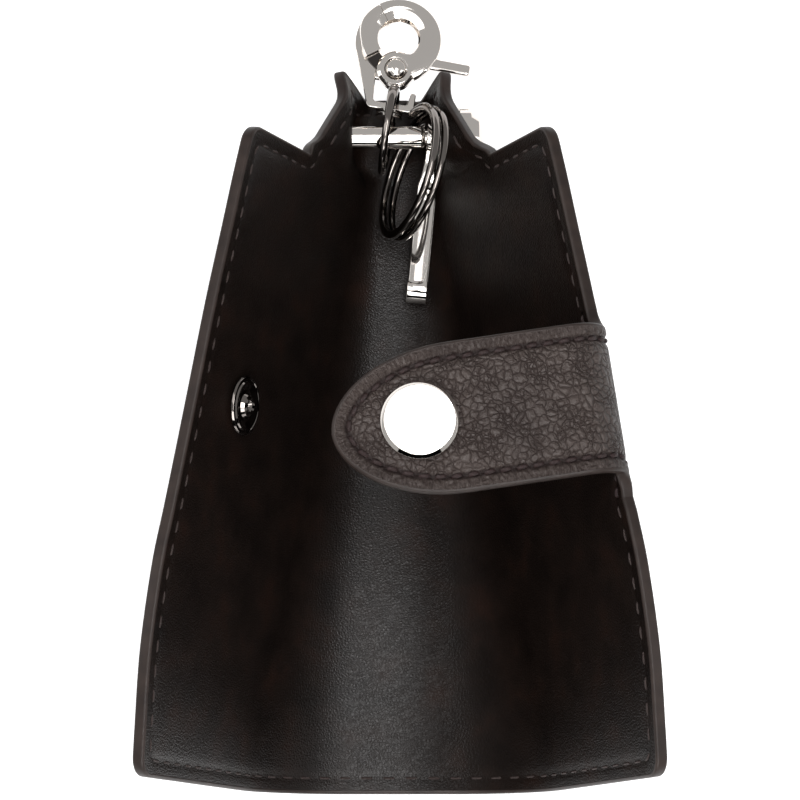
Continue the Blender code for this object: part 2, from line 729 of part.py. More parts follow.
def hook_arc(radius, start, end, steps):
    """Points round the hook's centre; angles run from straight ahead towards the left."""
    a, b = HOOK_CENTRE_ALONG, HOOK_CENTRE_ACROSS
    angles = np.linspace(start, end, steps + 1)
    return [(a + radius * math.cos(t), b - radius * math.sin(t)) for t in angles]


def plate(name, outline, low, high, finish, bevel=CLASP_BEVEL):
    """A flat plate cut to an outline in the clasp's plane, with its rims eased."""
    layers = [[clasp_place(a, b, z) for a, b in outline] for z in (low, high)]
    made = lofted(name, layers, finish, clasp_place(0, 0))
    if bevel:
        step = made.modifiers.new("eased_rims", "BEVEL")
        step.width = bevel
        step.segments = 2
        step.limit_method = "ANGLE"
        step.angle_limit = math.radians(50)
    return made


def join(target, others):
    """Unites plates into one body."""
    for other in others:
        step = target.modifiers.new("with_" + other.name, "BOOLEAN")
        step.object = other
        step.operation = "UNION"
        other.hide_render = True
        other.display_type = "WIRE"


def circle(a, b, radius, steps=24):
    turns = [2 * math.pi * k / steps for k in range(steps)]
    return [(a + radius * math.cos(t), b + radius * math.sin(t)) for t in turns]


def make_clasp(finish):
    """Body: left jaw, bar and lower boss. Gate: right jaw, thumb piece and upper boss."""
    half = CLASP_THICK / 2
    slit = CLASP_SLIT / 2
    chrome = finish["chrome"]
    bar_low = CLASP_BAR_TOP - CLASP_BAR_THICK
    left, right = CLASP_BASE_LEFT, CLASP_BASE_RIGHT
    base = [(bar_low, left), (bar_low, right), (CLASP_TAB_TOP, right),
            (CLASP_TAB_TOP, right - CLASP_ARM_WIDTH * 0.6), (CLASP_BAR_TOP, right - CLASP_ARM_WIDTH),
            (CLASP_BAR_TOP, left + CLASP_ARM_WIDTH),
            (CLASP_ARM_TOP, left + CLASP_ARM_WIDTH * 0.7)]
    outer = hook_arc(HOOK_OUTER_RADIUS, SEAM_ANGLE, ARM_ANGLE, 10)
    inner = hook_arc(HOOK_INNER_RADIUS, JAW_ANGLE, SEAM_ANGLE, 10)
    body = plate("clasp_body", outer + base + inner, -half, half, chrome)
    boss = plate("body_boss", circle(0, 0, BOSS_RADIUS), -half, -slit, chrome, 0)
    arm = left + CLASP_ARM_WIDTH * 0.3
    reach = BOSS_RADIUS * 0.6
    corners = [(-reach, 0), (-reach, arm), (reach, arm), (reach, 0)]
    web = plate("body_web", corners, -half * 0.94, -slit * 1.4, chrome, 0)
    join(body, [boss, web])
    outer = hook_arc(HOOK_OUTER_RADIUS, GATE_OUTER_ANGLE, SEAM_ANGLE - SEAM_GAP, 18)
    inner = hook_arc(HOOK_INNER_RADIUS, SEAM_ANGLE - SEAM_GAP, GATE_INNER_ANGLE, 16)
    gate = plate("clasp_gate", outer + inner, slit, half, chrome)
    boss = plate("gate_boss", circle(0, 0, BOSS_RADIUS), slit, half, chrome, 0)
    corners = [(BOSS_RADIUS * 0.9, -BOSS_RADIUS * 0.5), (-BOSS_RADIUS * 0.3, BOSS_RADIUS * 0.9),
               (THUMB_ALONG, THUMB_NECK), (HOOK_CENTRE_ALONG * 0.8, HOOK_OUTER_RADIUS * 0.8),
               (HOOK_CENTRE_ALONG * 0.5, BOSS_RADIUS * 0.7)]
    root = plate("gate_root", corners, slit * 1.4, half * 0.97, chrome, 0)
    corners = [(THUMB_ALONG + THUMB_WIDTH, BOSS_RADIUS), (THUMB_ALONG, BOSS_RADIUS),
               (THUMB_ALONG - THUMB_WIDTH * 0.1, THUMB_TIP_ACROSS),
               (THUMB_ALONG + THUMB_WIDTH * 0.8, THUMB_TIP_ACROSS)]
    wing = plate("gate_thumb", corners, slit * 1.8, half * 0.9, chrome, 0)
    join(gate, [boss, root, wing])
    ends = [clasp_place(0, 0, -half - OVERRUN), clasp_place(0, 0, half + OVERRUN)]
    hole = cylinder_cutter("rivet_hole", *ends, RIVET_RADIUS + BORE_CLEARANCE)
    for target in (body, gate):
        cut(target, hole)
    floor = -slit - POCKET_DEPTH
    pocket = cylinder_cutter("spring_pocket", clasp_place(0, 0, floor), clasp_place(0, 0, 0), POCKET_RADIUS)
    cut(body, pocket)
    start = floor + (POCKET_DEPTH - COIL_PITCH * COIL_TURNS) / 2
    centre = clasp_place(0, 0, start)
    wire, steel = COIL_WIRE_RADIUS, finish["spring"]
    coil("clasp_spring", centre, (0, 0, 1), COIL_RADIUS, wire, COIL_PITCH, COIL_TURNS, steel)


def make_clasp_rivet(finish):
    half = CLASP_THICK / 2
    seat = half + SEAT_GAP
    turns = [math.pi / 8 * k for k in range(4)]
    dome = [(RIVET_HEAD_RADIUS * math.cos(t), seat + RIVET_HEAD_THICK * math.sin(t)) for t in turns]
    end = -seat - RIVET_HEAD_THICK * 0.5
    foot = [(0, end), (RIVET_HEAD_RADIUS * 0.8, end), (RIVET_HEAD_RADIUS, -seat)]
    profile = foot + [(RIVET_RADIUS, -seat), (RIVET_RADIUS, seat)] + dome + [(0, seat + RIVET_HEAD_THICK)]
    turned("clasp_rivet", profile, clasp_place(0, 0), (0, 0, 1), finish["chrome"], steps=24)


def make_swivel_barrel(finish):
    """Flanged barrel under the clasp's bar, on the clasp's long axis."""
    along, _ = clasp_axes()
    start = CLASP_BAR_TOP - CLASP_BAR_THICK - SEAT_GAP
    profile = [(0, 0), (BARREL_FLANGE_RADIUS, 0)]
    pitch = SWIVEL_LENGTH / FLANGE_COUNT
    for k in range(FLANGE_COUNT):
        low = k * pitch
        profile += [(BARREL_FLANGE_RADIUS, low), (BARREL_FLANGE_RADIUS, low + FLANGE_THICK)]
        profile += [(BARREL_NECK_RADIUS, low + FLANGE_THICK)]
        if k < FLANGE_COUNT - 1:
            profile += [(BARREL_NECK_RADIUS, low + pitch)]
    profile = [p for i, p in enumerate(profile) if i == 0 or p != profile[i - 1]]
    profile += [(0, profile[-1][1])]
    turned("swivel_barrel", profile, clasp_place(start, 0), -along, finish["chrome"], steps=24)


# Key hook

def hook_place(across, along, up):
    """A place on the key hook: along runs from the post towards the pouch's bottom."""
    c, s = math.cos(HOOK_YAW), math.sin(HOOK_YAW)
    return (HOOK_X + across * c - along * s, POST_Y - along * c - across * s, up)


def strip_rings(route, width_at, thick):
    """Rings of four corners along a bent strip; its thickness is square to the route."""
    route = np.array(route)
    way = np.gradient(route, axis=0)
    way /= np.linalg.norm(way, axis=1)[:, None]
    off = np.stack([-way[:, 1], way[:, 0]], 1) * thick / 2
    corners = ((-1, -1), (1, -1), (1, 1), (-1, 1))
    rings = []
    for k, (p, o) in enumerate(zip(route, off)):
        half = width_at(k, p) / 2
        rings.append([hook_place(half * x, *(p + o * side)) for x, side in corners])
    return rings


def make_key_hook(finish):
    """Eye round the post's screw, a level shank on the lining and a curled tip, closed by a leaf spring."""
    eye = HOOK_EYE_RADIUS + HOOK_THICK / 2
    low = HOOK_LOW_Z + HOOK_THICK / 2
    route = [(eye * math.sin(t), POST_Z - eye * math.cos(t)) for t in np.radians(np.linspace(-70, -320, 12))]
    drop_start = route[-1]
    level_start = HOOK_LENGTH * HOOK_LEVEL_SHARE
    for k in range(1, 9):
        t = k / 8
        ease = t * (2 - t)
        route.append((mix(drop_start[0], level_start, t), mix(drop_start[1], low, ease)))
    curl = HOOK_CURL_RADIUS
    straight_end = HOOK_LENGTH - curl
    route += [(mix(level_start, straight_end, k / 3), low) for k in (1, 2)]
    turns = np.radians(np.linspace(0, 205, 11))
    route += [(straight_end + curl * math.sin(t), low + curl - curl * math.cos(t)) for t in turns]

    def width_at(k, p):
        share = min(max((p[0] - eye) / (HOOK_LENGTH * HOOK_WIDEN_SHARE), 0), 1) if k > 6 else 0
        return mix(HOOK_EYE_WIDTH, HOOK_WIDTH, share)

    lofted("key_hook", strip_rings(route, width_at, HOOK_THICK), finish["chrome"], (HOOK_X, POST_Y, POST_Z))
    share = LEAF_START_SHARE
    slope = 2 * (1 - share) * (low - drop_start[1]) / (level_start - drop_start[0])
    way = np.array([1, slope]) / math.hypot(1, slope)
    off = np.array([-way[1], way[0]])
    shank = np.array([mix(drop_start[0], level_start, share), mix(drop_start[1], low, share * (2 - share))])
    pivot = shank + off * (HOOK_THICK / 2 + SEAT_GAP + LEAF_THICK / 2)
    tip = np.array([straight_end, low + curl * 2 - HOOK_THICK / 2 - LEAF_TIP_GAP])
    root = [pivot - way * LEAF_ROOT, pivot, pivot + way * LEAF_ROOT]
    leaf = root + [mix(root[-1], tip, k / 3) for k in (1, 2, 3)]
    rings = strip_rings(leaf, lambda k, p: HOOK_WIDTH * 0.92, LEAF_THICK)
    gate = lofted("hook_gate", rings, finish["chrome"], hook_place(0, *pivot))
    rivet = LEAF_RIVET_RADIUS
    foot = shank - off * HOOK_THICK / 2
    head = pivot + off * (LEAF_THICK / 2 + SEAT_GAP)
    length = np.linalg.norm(head - foot)
    top = length + rivet * 0.7
    profile = [(0, 0), (rivet, 0), (rivet, length), (rivet * 1.9, length), (rivet * 1.5, top)]
    profile.append((0, top + rivet * 0.3))
    foot_place, head_place = Vector(hook_place(0, *foot)), Vector(hook_place(0, *head))
    axis = (head_place - foot_place).normalized()
    turned("hook_rivet", profile, foot_place, axis, finish["chrome"], steps=16)
    ends = [foot_place - axis * OVERRUN, head_place + axis * OVERRUN]
    hole = cylinder_cutter("leaf_rivet_hole", *ends, rivet + BORE_CLEARANCE * 0.5)
    for strip in (bpy.data.objects["key_hook"], gate):
        cut(strip, hole)


def main():
    for old in list(bpy.data.objects):
        bpy.data.objects.remove(old, do_unlink=True)
    finish = make_materials()
    leather = make_leather(finish)
    make_snap_cap(leather, finish)
    make_snap_stud(leather, finish)
    make_post(leather, finish)
    make_connector_ring(finish)
    make_split_ring(finish)
    make_clasp(finish)
    make_clasp_rivet(finish)
    make_swivel_barrel(finish)
    make_key_hook(finish)


main()
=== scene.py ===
import math

import bpy
import numpy as np
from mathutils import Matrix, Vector
from mathutils.geometry import delaunay_2d_cdt


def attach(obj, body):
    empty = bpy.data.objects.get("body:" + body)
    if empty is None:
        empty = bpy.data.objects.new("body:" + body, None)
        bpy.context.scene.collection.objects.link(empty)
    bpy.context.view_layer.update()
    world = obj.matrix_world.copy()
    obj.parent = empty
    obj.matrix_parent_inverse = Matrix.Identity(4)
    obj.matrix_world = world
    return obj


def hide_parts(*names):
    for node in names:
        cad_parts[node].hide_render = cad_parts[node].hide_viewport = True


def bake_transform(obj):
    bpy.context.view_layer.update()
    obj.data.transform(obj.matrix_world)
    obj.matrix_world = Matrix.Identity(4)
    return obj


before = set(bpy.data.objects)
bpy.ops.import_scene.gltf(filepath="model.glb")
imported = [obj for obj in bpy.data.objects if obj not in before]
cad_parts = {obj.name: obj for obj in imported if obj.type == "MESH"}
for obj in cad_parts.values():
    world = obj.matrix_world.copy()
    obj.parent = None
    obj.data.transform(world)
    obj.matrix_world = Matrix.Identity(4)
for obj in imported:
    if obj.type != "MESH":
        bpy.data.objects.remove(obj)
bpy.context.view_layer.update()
mm = 0.001
print("frame loaded:", len(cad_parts), "nodes")


# colour and node helpers

def linear(hexColour):
    # sRGB hex text to linear red, green, blue
    c = np.array([int(hexColour[i:i + 2], 16) for i in (1, 3, 5)]) / 255
    return (*np.where(c <= 0.04045, c / 12.92, ((c + 0.055) / 1.055) ** 2.4).tolist(), 1)


def feed(tree, made, settings):
    # a setting that is a socket is linked; any other goes to an input, or else to a property
    for key, value in settings.items():
        if isinstance(value, bpy.types.NodeSocket):
            tree.links.new(value, made.inputs[key])
        elif isinstance(key, int) or key in made.inputs:
            made.inputs[key].default_value = value
        else:
            setattr(made, key, value)


def node(tree, kind, settings, output=0):
    # adds a node and gives one of its outputs
    made = tree.nodes.new("ShaderNode" + kind)
    feed(tree, made, settings)
    return made.outputs[output]


def newMaterial(name):
    made = bpy.data.materials.new(name)
    made.use_nodes = True
    return made, made.node_tree, made.node_tree.nodes["Principled BSDF"]


def ramp(tree, source, stops):
    # colour ramp from (place, hex) stops
    colour = node(tree, "ValToRGB", {"Fac": source}, "Color")
    bar = colour.node.color_ramp
    while len(bar.elements) < len(stops):
        bar.elements.new(0.5)
    for element, (place, hexColour) in zip(bar.elements, stops):
        element.position = place
        element.color = linear(hexColour)
    return colour


def bump(tree, height, strength, distance):
    return node(tree, "Bump", {"Height": height, "Strength": strength, "Distance": distance})


def mapRange(tree, value, low, high, least=0.0, most=1.0, kind="LINEAR"):
    return node(tree, "MapRange", {"interpolation_type": kind, "Value": value, "From Min": low, "From Max": high,
                                   "To Min": least, "To Max": most})


def arith(tree, operation, *terms):
    return node(tree, "Math", {"operation": operation, **dict(enumerate(terms))})


def noise(tree, place, scale, detail, roughness=0.5, dimensions="3D", output="Fac"):
    return node(tree, "TexNoise", {"noise_dimensions": dimensions, "Vector": place, "Scale": scale, "Detail": detail,
                                   "Roughness": roughness}, output)


def rayIs(tree, kind):
    return node(tree, "LightPath", {}, f"Is {kind} Ray")


# materials

# pebbled dark is the painted shade of the furrows, the wrinkles and the stitch channel
pebbled = {
    "dark": "#1a1212", "mid": "#3b322f", "light": "#4a403c", "roughness": 0.42, "relief": 0.26 * mm,
    "grainMm": 1.3, "smallMm": 0.72, "fineMm": 0.28, "gatherMm": 0.22, "gatheredTo": (1.9, 3.8), "seamMm": 2.55,
    "largeWall": 0.13, "smallWall": 0.2, "dome": 0.8, "fineShare": 0.6,
}
lining = {
    "dark": "#100b09", "mid": "#19120f", "warm": "#241712", "roughness": 0.34, "relief": 0.08 * mm,
    "grainMm": 0.5, "streakMm": 7.0, "apexY": 83 * mm,
}


def pebbledLeather():
    # coated split leather, embossed with pebbles: soft broken highlights; its colour is darkened in the furrows and in
    # the stitch channel, painted shade;
    # along a finished edge the skin is gathered into small wrinkles that run across it
    made, tree, shader = newMaterial("pebbled_coated_leather")
    skin, border = (node(tree, "UVMap", {"uv_map": name}) for name in ("skin", "border"))

    def spots(place, sizeMm, detail=2.0, roughness=0.5, output="Fac"):
        return noise(tree, place, 0.5 / sizeMm, detail, roughness, "2D", output)

    def shifted(place, sizeMm, reachMm):
        # moves the places by up to the reach, so that cell walls wander
        return node(tree, "VectorMath", {"operation": "MULTIPLY_ADD", 0: spots(place, sizeMm, output="Color"),
                                         1: (reachMm, reachMm, 0.0), 2: place})

    def walls(sizeMm, width):
        # 0 on the walls between cells, 1 from the width on, a share of the cell
        gap = node(tree, "TexVoronoi", {"feature": "DISTANCE_TO_EDGE", "voronoi_dimensions": "2D",
                                        "Vector": wandering, "Scale": 1 / sizeMm})
        return mapRange(tree, gap, 0.0, width, kind="SMOOTHERSTEP")

    def weaken(wall, share):
        return node(tree, "Mix", {"data_type": "FLOAT", 0: share, 2: 1.0, 3: wall})

    wandering = shifted(shifted(skin, 1.6, 1.5), 0.35, 0.5)
    broken = spots(skin, 2.2)
    large = weaken(walls(pebbled["grainMm"], pebbled["largeWall"]), mapRange(tree, broken, 0.45, 0.7, 1.0, 0.55))
    small = weaken(walls(pebbled["smallMm"], pebbled["smallWall"]), mapRange(tree, broken, 0.3, 0.55, 1.0, 0.05))
    pebbles = arith(tree, "MULTIPLY", large, small)
    stretched = node(tree, "VectorMath", {"operation": "MULTIPLY", 0: border, 1: (1.0, 0.3, 1.0)})
    gathered = spots(shifted(stretched, 0.5, 0.35), pebbled["gatherMm"], 3.0, 0.6)
    pleats = mapRange(tree, gathered, 0.34, 0.6, 0.1, 0.8)
    across = node(tree, "SeparateXYZ", {0: border}, "Y")
    near = mapRange(tree, across, *pebbled["gatheredTo"], 0.9, 0.0)
    skinned = node(tree, "Mix", {"data_type": "FLOAT", 0: near, 2: pebbles, 3: pleats})
    offLine = arith(tree, "ABSOLUTE", arith(tree, "SUBTRACT", across, pebbled["seamMm"]))
    channel = mapRange(tree, offLine, 0.2, 0.75, 0.25, 1.0, "SMOOTHSTEP")
    crease = arith(tree, "MULTIPLY", skinned, channel)
    body = ramp(tree, spots(skin, 9.0, 3.0), [(0.3, pebbled["mid"]), (0.75, pebbled["light"])])
    # painted shade: the colour goes darker in the furrows, the wrinkles and the stitch channel, where shade falls
    furrowShade = arith(tree, "MULTIPLY", mapRange(tree, skinned, 0.0, 1.0, 0.58), channel)
    # each pebble is domed, not flat between its furrows
    domed = arith(tree, "MULTIPLY_ADD", walls(pebbled["grainMm"], 0.5), pebbled["dome"], crease)
    height = arith(tree, "MULTIPLY_ADD", spots(skin, pebbled["fineMm"], 3.0, 0.6), pebbled["fineShare"], domed)
    feed(tree, shader, {
        "Base Color": node(tree, "Mix", {"data_type": "RGBA", 0: furrowShade, 6: linear(pebbled["dark"]), 7: body}, 2),
        "Normal": bump(tree, height, 0.9, pebbled["relief"]),
        "Roughness": mapRange(tree, crease, 0.0, 1.0, pebbled["roughness"] + 0.15, pebbled["roughness"]),
        "Specular IOR Level": mapRange(tree, crease, 0.0, 1.0, 0.12, 0.38)})
    return made


def liningLeather():
    # smooth semi-aniline lining, near black with a hair-fine grain: a dull sheen where it faces the light
    made, tree, shader = newMaterial("smooth_lining_leather")
    place = node(tree, "TexCoord", {}, "Object")
    grain = node(tree, "TexVoronoi", {"feature": "DISTANCE_TO_EDGE", "Vector": place,
                                      "Scale": 1 / (lining["grainMm"] * mm)})
    fine = noise(tree, place, 2600.0, 4.0, 0.6)
    height = arith(tree, "MULTIPLY_ADD", fine, 0.8, mapRange(tree, grain, 0.0, 0.3))
    # a sheen mask in the specular level, strongest just left of the spine's middle, weaker further left and dull to the
    # right: painted highlight; q = x / (apex y - y) is constant along the cone's straight lines
    x, y = (node(tree, "SeparateXYZ", {0: place}, name) for name in "XY")
    q = arith(tree, "DIVIDE", x, arith(tree, "SUBTRACT", lining["apexY"], y))
    right = mapRange(tree, q, -0.02, 0.06, 0.34, 0.11, "SMOOTHSTEP")
    left = mapRange(tree, q, -0.1, -0.04, 0.72, 1.0, "SMOOTHSTEP")
    feed(tree, shader, {
        "Base Color": ramp(tree, noise(tree, place, 1 / (lining["streakMm"] * mm), 4.0),
                           [(0.3, lining["dark"]), (0.55, lining["mid"]), (0.8, lining["warm"])]),
        "Normal": bump(tree, height, 0.45, lining["relief"]),
        "Roughness": mapRange(tree, fine, 0.0, 1.0, lining["roughness"] - 0.06, lining["roughness"] + 0.1),
        "Specular IOR Level": arith(tree, "MULTIPLY", right, left)})
    return made


def edgePaint():
    # acrylic edge paint, brushed on in coats and burnished: satin, a little uneven
    made, tree, shader = newMaterial("burnished_edge_paint")
    uneven = noise(tree, node(tree, "TexCoord", {}, "Object"), 350.0, 3.0)
    feed(tree, shader, {"Base Color": ramp(tree, uneven, [(0.3, "#261e1b"), (0.7, "#352b27")]),
                        "Normal": bump(tree, uneven, 0.3, 0.1 * mm), "Roughness": 0.45, "Specular IOR Level": 0.3})
    return made


def sewingThread(name, dark, light):
    # bonded polyester thread, twisted: fine slanting lines along each stitch, read from the stitch's own map; the
    # colour is darker in the twist's grooves and lighter on its ridges, painted shade and painted highlight
    made, tree, shader = newMaterial(name)
    twist = node(tree, "TexWave", {"bands_direction": "DIAGONAL", "Vector": node(tree, "UVMap", {"uv_map": "stitch"}),
                                   "Scale": 2.2, "Distortion": 0.4}, "Fac")
    feed(tree, shader, {"Base Color": ramp(tree, twist, [(0.2, dark), (0.8, light)]),
                        "Normal": bump(tree, twist, 0.5, 0.06 * mm), "Roughness": 0.6})
    return made


def platedMetal(name, base, roughness, waveMm=6.0, wave=0.12):
    # plated zinc or steel, polished: mirror-like, with the slight ripple that polishing leaves
    made, tree, shader = newMaterial(name)
    place = node(tree, "TexCoord", {}, "Object")
    feed(tree, shader, {
        "Base Color": linear(base), "Metallic": 1.0,
        "Normal": bump(tree, noise(tree, place, 1 / (waveMm * mm), 2.0), wave, 0.3 * mm),
        "Roughness": mapRange(tree, noise(tree, place, 500.0, 5.0), 0.0, 1.0, roughness * 0.7, roughness * 1.5)})
    return made


outerSkin = pebbledLeather()
innerSkin = liningLeather()
paint = edgePaint()
bodyThread = sewingThread("body_thread", "#1d1412", "#40312d")
strapThread = sewingThread("strap_thread", "#120808", "#311a18")
chrome = platedMetal("bright_nickel_plate", "#e6e0da", 0.06)
mirrorNickel = platedMetal("mirror_nickel_plate", "#e6e0da", 0.05, 9.0, 0.02)
blackNickel = platedMetal("black_nickel_plate", "#4b4745", 0.1)
ringNickel = platedMetal("nickel_plated_ring_wire", "#7d7773", 0.08)
springSteel = platedMetal("spring_steel_wire", "#a5a19c", 0.25)
print("materials made")


# mesh helpers

def build(name, points, faces, finish, smoothAngle=40, maps=None):
    # points is n x 3 in metres, faces a list of index tuples; every face is turned to point outwards
    mesh = bpy.data.meshes.new(name)
    mesh.from_pydata(np.asarray(points, float).tolist(), [], faces)
    mesh.update()
    for label, uv in (maps or {}).items():
        layer = mesh.uv_layers.new(name=label)
        corners = np.empty(len(mesh.loops), np.int32)
        mesh.loops.foreach_get("vertex_index", corners)
        layer.data.foreach_set("uv", np.asarray(uv, float)[corners].ravel())
    made = bpy.data.objects.new(name, mesh)
    bpy.context.scene.collection.objects.link(made)
    mesh.shade_smooth()
    mesh.set_sharp_from_angle(angle=math.radians(smoothAngle))
    mesh.materials.append(finish)
    mesh.calc_loop_triangles()
    tris = np.empty(len(mesh.loop_triangles) * 3, np.int32)
    mesh.loop_triangles.foreach_get("vertices", tris)
    corner = np.asarray(points, float)[tris.reshape(-1, 3)]
    if np.einsum("ij,ij->i", corner[:, 0], np.cross(corner[:, 1], corner[:, 2])).sum() < 0:
        mesh.flip_normals()
    return made


def tubeFaces(rings, count, closed=False):
    # quads between neighbouring rings of count points, and a cap on each open end
    r, i = np.arange(rings if closed else rings - 1)[:, None], np.arange(count)
    j, s = (i + 1) % count, (r + 1) % rings
    quads = np.stack([r * count + i, r * count + j, s * count + j, s * count + i], -1).reshape(-1, 4).tolist()
    return quads if closed else quads + [list(range(count))[::-1], list(range((rings - 1) * count, rings * count))]


def tube(name, rings, finish, closed=False, smoothAngle=40):
    # rings is n x m x 3
    rings = np.asarray(rings, float)
    return build(name, rings.reshape(-1, 3), tubeFaces(*rings.shape[:2], closed), finish, smoothAngle)


def unit(v):
    return v / np.linalg.norm(v, axis=-1, keepdims=True)


def leftOf(way):
    # a quarter turn to the left, in the plane
    return np.stack([-way[:, 1], way[:, 0]], 1)


def smoothStep(t):
    t = np.clip(t, 0, 1)
    return t * t * (3 - 2 * t)


def runAlong(line):
    # distance travelled at each point of a polyline
    return np.concatenate([[0], np.cumsum(np.linalg.norm(np.diff(line, axis=0), axis=1))])


def pointsAt(line, run, at):
    # places on a flat polyline at these distances along it
    return np.stack([np.interp(at, run, line[:, k]) for k in (0, 1)], -1)


def resample(line, step):
    # evenly spaced points along a flat polyline
    run = runAlong(line)
    return pointsAt(line, run, np.linspace(0, run[-1], max(2, int(round(run[-1] / step)) + 1)))


def roundCorners(points, radii, steps=10):
    # an arc tangent to both sides takes the place of each corner
    points = [np.array(p, float) for p in points]
    out = []
    for i, corner in enumerate(points):
        if radii[i] == 0:
            out.append(corner)
            continue
        before, after = points[i - 1] - corner, points[(i + 1) % len(points)] - corner
        reach = min(np.linalg.norm(before), np.linalg.norm(after)) / 2
        before, after = unit(before), unit(after)
        half = math.acos(np.clip(before @ after, -1, 1)) / 2
        trim = min(radii[i] / math.tan(half), reach)
        radius = trim * math.tan(half)
        centre = corner + unit(before + after) * radius / math.sin(half)
        start, end = corner + before * trim - centre, corner + after * trim - centre
        sweep = math.atan2(start[0] * end[1] - start[1] * end[0], start @ end)
        a = sweep * np.linspace(0, 1, steps + 1)
        out += list(centre + np.stack([start[0] * np.cos(a) - start[1] * np.sin(a),
                                       start[0] * np.sin(a) + start[1] * np.cos(a)], 1))
    return np.array(out)


# the leather surface: the same cone, neck and wings as the solids

hide = {
    "thick": 2.0 * mm, "apexY": 82 * mm, "bottomY": -69.5 * mm, "notchY": 38 * mm, "neckFullY": 42 * mm,
    "neckEndY": 56.2 * mm, "neckDip": 1.5 * mm, "flatShare": 0.055, "curveShare": 0.1385,
    "wallAngle": math.radians(68), "foldZ": 26.1 * mm, "neckFlat": 4.1 * mm, "neckCurve": 5.4 * mm,
    "neckWall": 9.1 * mm, "neckShift": -0.9 * mm, "flareTurn": 3 * mm, "flareAngle": math.radians(52),
    "mouthStartY": 49.2 * mm, "mouthFlat": 2.2 * mm, "mouthCurve": 4.0 * mm, "mouthWall": 12.6 * mm,
    "mouthAngle": math.radians(70), "mouthShift": -1.35 * mm,
    "hornArc": 19.8 * mm, "grid": 1.15 * mm, "lineGrid": 1 * mm, "borderStep": 1.2 * mm, "foldBend": 4 * mm,
    "edgeInset": 0.55 * mm, "edgeRadius": 0.5 * mm, "rollFrom": 1.25 * mm, "rollWidth": 0.6 * mm,
}
stitching = {"inset": 2.7 * mm, "pitch": 3.8 * mm, "length": 2.6 * mm, "radius": 0.2 * mm, "groove": 0.2 * mm,
             "grooveWidth": 0.7 * mm, "lean": 0.0, "roll": 0.0, "proud": 0.25}


def backSurface(p):
    # across: flat, curve, wall, flare and edge of the section at that y, followed by arc length from the spine
    s, y = p[:, 0], p[:, 1]
    height = hide["apexY"] - y
    neck = smoothStep((y - hide["notchY"]) / (hide["neckFullY"] - hide["notchY"]))
    mouth = smoothStep((y - hide["mouthStartY"]) / (hide["neckEndY"] - hide["mouthStartY"]))

    def measure(cone, middle, end):
        return (cone * (1 - neck) + middle * neck) * (1 - mouth) + end * mouth

    flat = measure(hide["flatShare"] * height, hide["neckFlat"], hide["mouthFlat"])
    radius = measure(hide["curveShare"] * height, hide["neckCurve"], hide["mouthCurve"])
    wall = measure(hide["wallAngle"], math.pi / 2, hide["mouthAngle"])
    edge = measure(hide["wallAngle"], hide["flareAngle"], hide["mouthAngle"]) - 1e-5
    shift = measure(0, hide["neckShift"], hide["mouthShift"])
    left = np.abs(s)
    steps = []
    for length in (flat, radius * wall, measure(hide["neckWall"], hide["neckWall"], hide["mouthWall"]),
                   np.full_like(s, hide["flareTurn"])):
        steps.append(np.minimum(left, length))
        left = left - steps[-1]
    turn = steps[1] / radius
    bend = (edge - wall) / hide["flareTurn"]
    last = wall + bend * steps[3]
    across = steps[0] + radius * np.sin(turn) + steps[2] * np.cos(wall)
    across += (np.sin(last) - np.sin(wall)) / bend + left * np.cos(edge)
    up = radius * (1 - np.cos(turn)) + steps[2] * np.sin(wall)
    up += (np.cos(wall) - np.cos(last)) / bend + left * np.sin(edge)
    return np.stack([np.sign(s) * across + shift, y, up], 1)


def lifter(surface, flip):
    # the lift of a panel gives points at a depth below its outer face, along its own normal, and that normal
    def lift(p, depth):
        e = 0.02 * mm
        alongS = surface(p + [e, 0]) - surface(p - [e, 0])
        alongY = surface(p + [0, e]) - surface(p - [0, e])
        normal = unit(np.cross(alongS, alongY)) * flip
        return surface(p) + normal * np.reshape(depth, (-1, 1)), normal

    return lift


# wing frame, shared with the strap
rise = hide["curveShare"] * math.tan(hide["wallAngle"] / 2) + hide["flatShare"]
alongFold = np.array([-rise, 1, 0]) / math.hypot(rise, 1)
wallWay = np.array([math.cos(hide["wallAngle"]), 0, math.sin(hide["wallAngle"])])
outOfWing = unit(np.cross(alongFold, wallWay))
upWing = np.cross(outOfWing, alongFold)
foldStart = np.array([rise * hide["apexY"] + hide["foldZ"] / math.tan(hide["wallAngle"]), 0, hide["foldZ"]])


def foldArc(y):
    height = hide["apexY"] - y
    radius = hide["curveShare"] * height
    rest = (hide["foldZ"] - radius * (1 - math.cos(hide["wallAngle"]))) / math.sin(hide["wallAngle"])
    return hide["flatShare"] * height + radius * hide["wallAngle"] + rest


def wingToPattern(uv):
    # wing places (along the fold, up from it) as (arc length from the spine, y)
    uv = np.asarray(uv, float).reshape(-1, 2)
    slant = alongFold @ wallWay
    climb = uv[:, 1] / math.sqrt(1 - slant * slant)
    y = alongFold[1] * (uv[:, 0] - slant * climb)
    return np.stack([foldArc(y) + climb, y], 1)


def curveThrough(points, step):
    # Catmull-Rom curve through the points
    p = np.asarray(points, float)
    p = np.vstack([2 * p[0] - p[1], p, 2 * p[-1] - p[-2]])
    t = np.linspace(0, 1, 13)[:-1, None]
    out = []
    for a, b, c, d in zip(p, p[1:], p[2:], p[3:]):
        bent, twisted = 2 * a - 5 * b + 4 * c - d, 3 * b - a - 3 * c + d
        out.append(0.5 * (2 * b + (c - a) * t + bent * t ** 2 + twisted * t ** 3))
    return resample(np.vstack([*out, p[-2:-1]]), step)


strap = {"rootV": 26.0 * mm, "seamV": 24.0 * mm, "centreU": -11.9 * mm, "halfWidth": 12.1 * mm, "fillet": 3.6 * mm,
         "straight": 0.2 * mm, "bend": 6.6 * mm, "flat": 39.2 * mm, "point": 20 * mm, "pointPower": 0.54}
seamTop = strap["centreU"] + strap["halfWidth"] + strap["fillet"]
seamBottom = strap["centreU"] - strap["halfWidth"] - strap["fillet"]
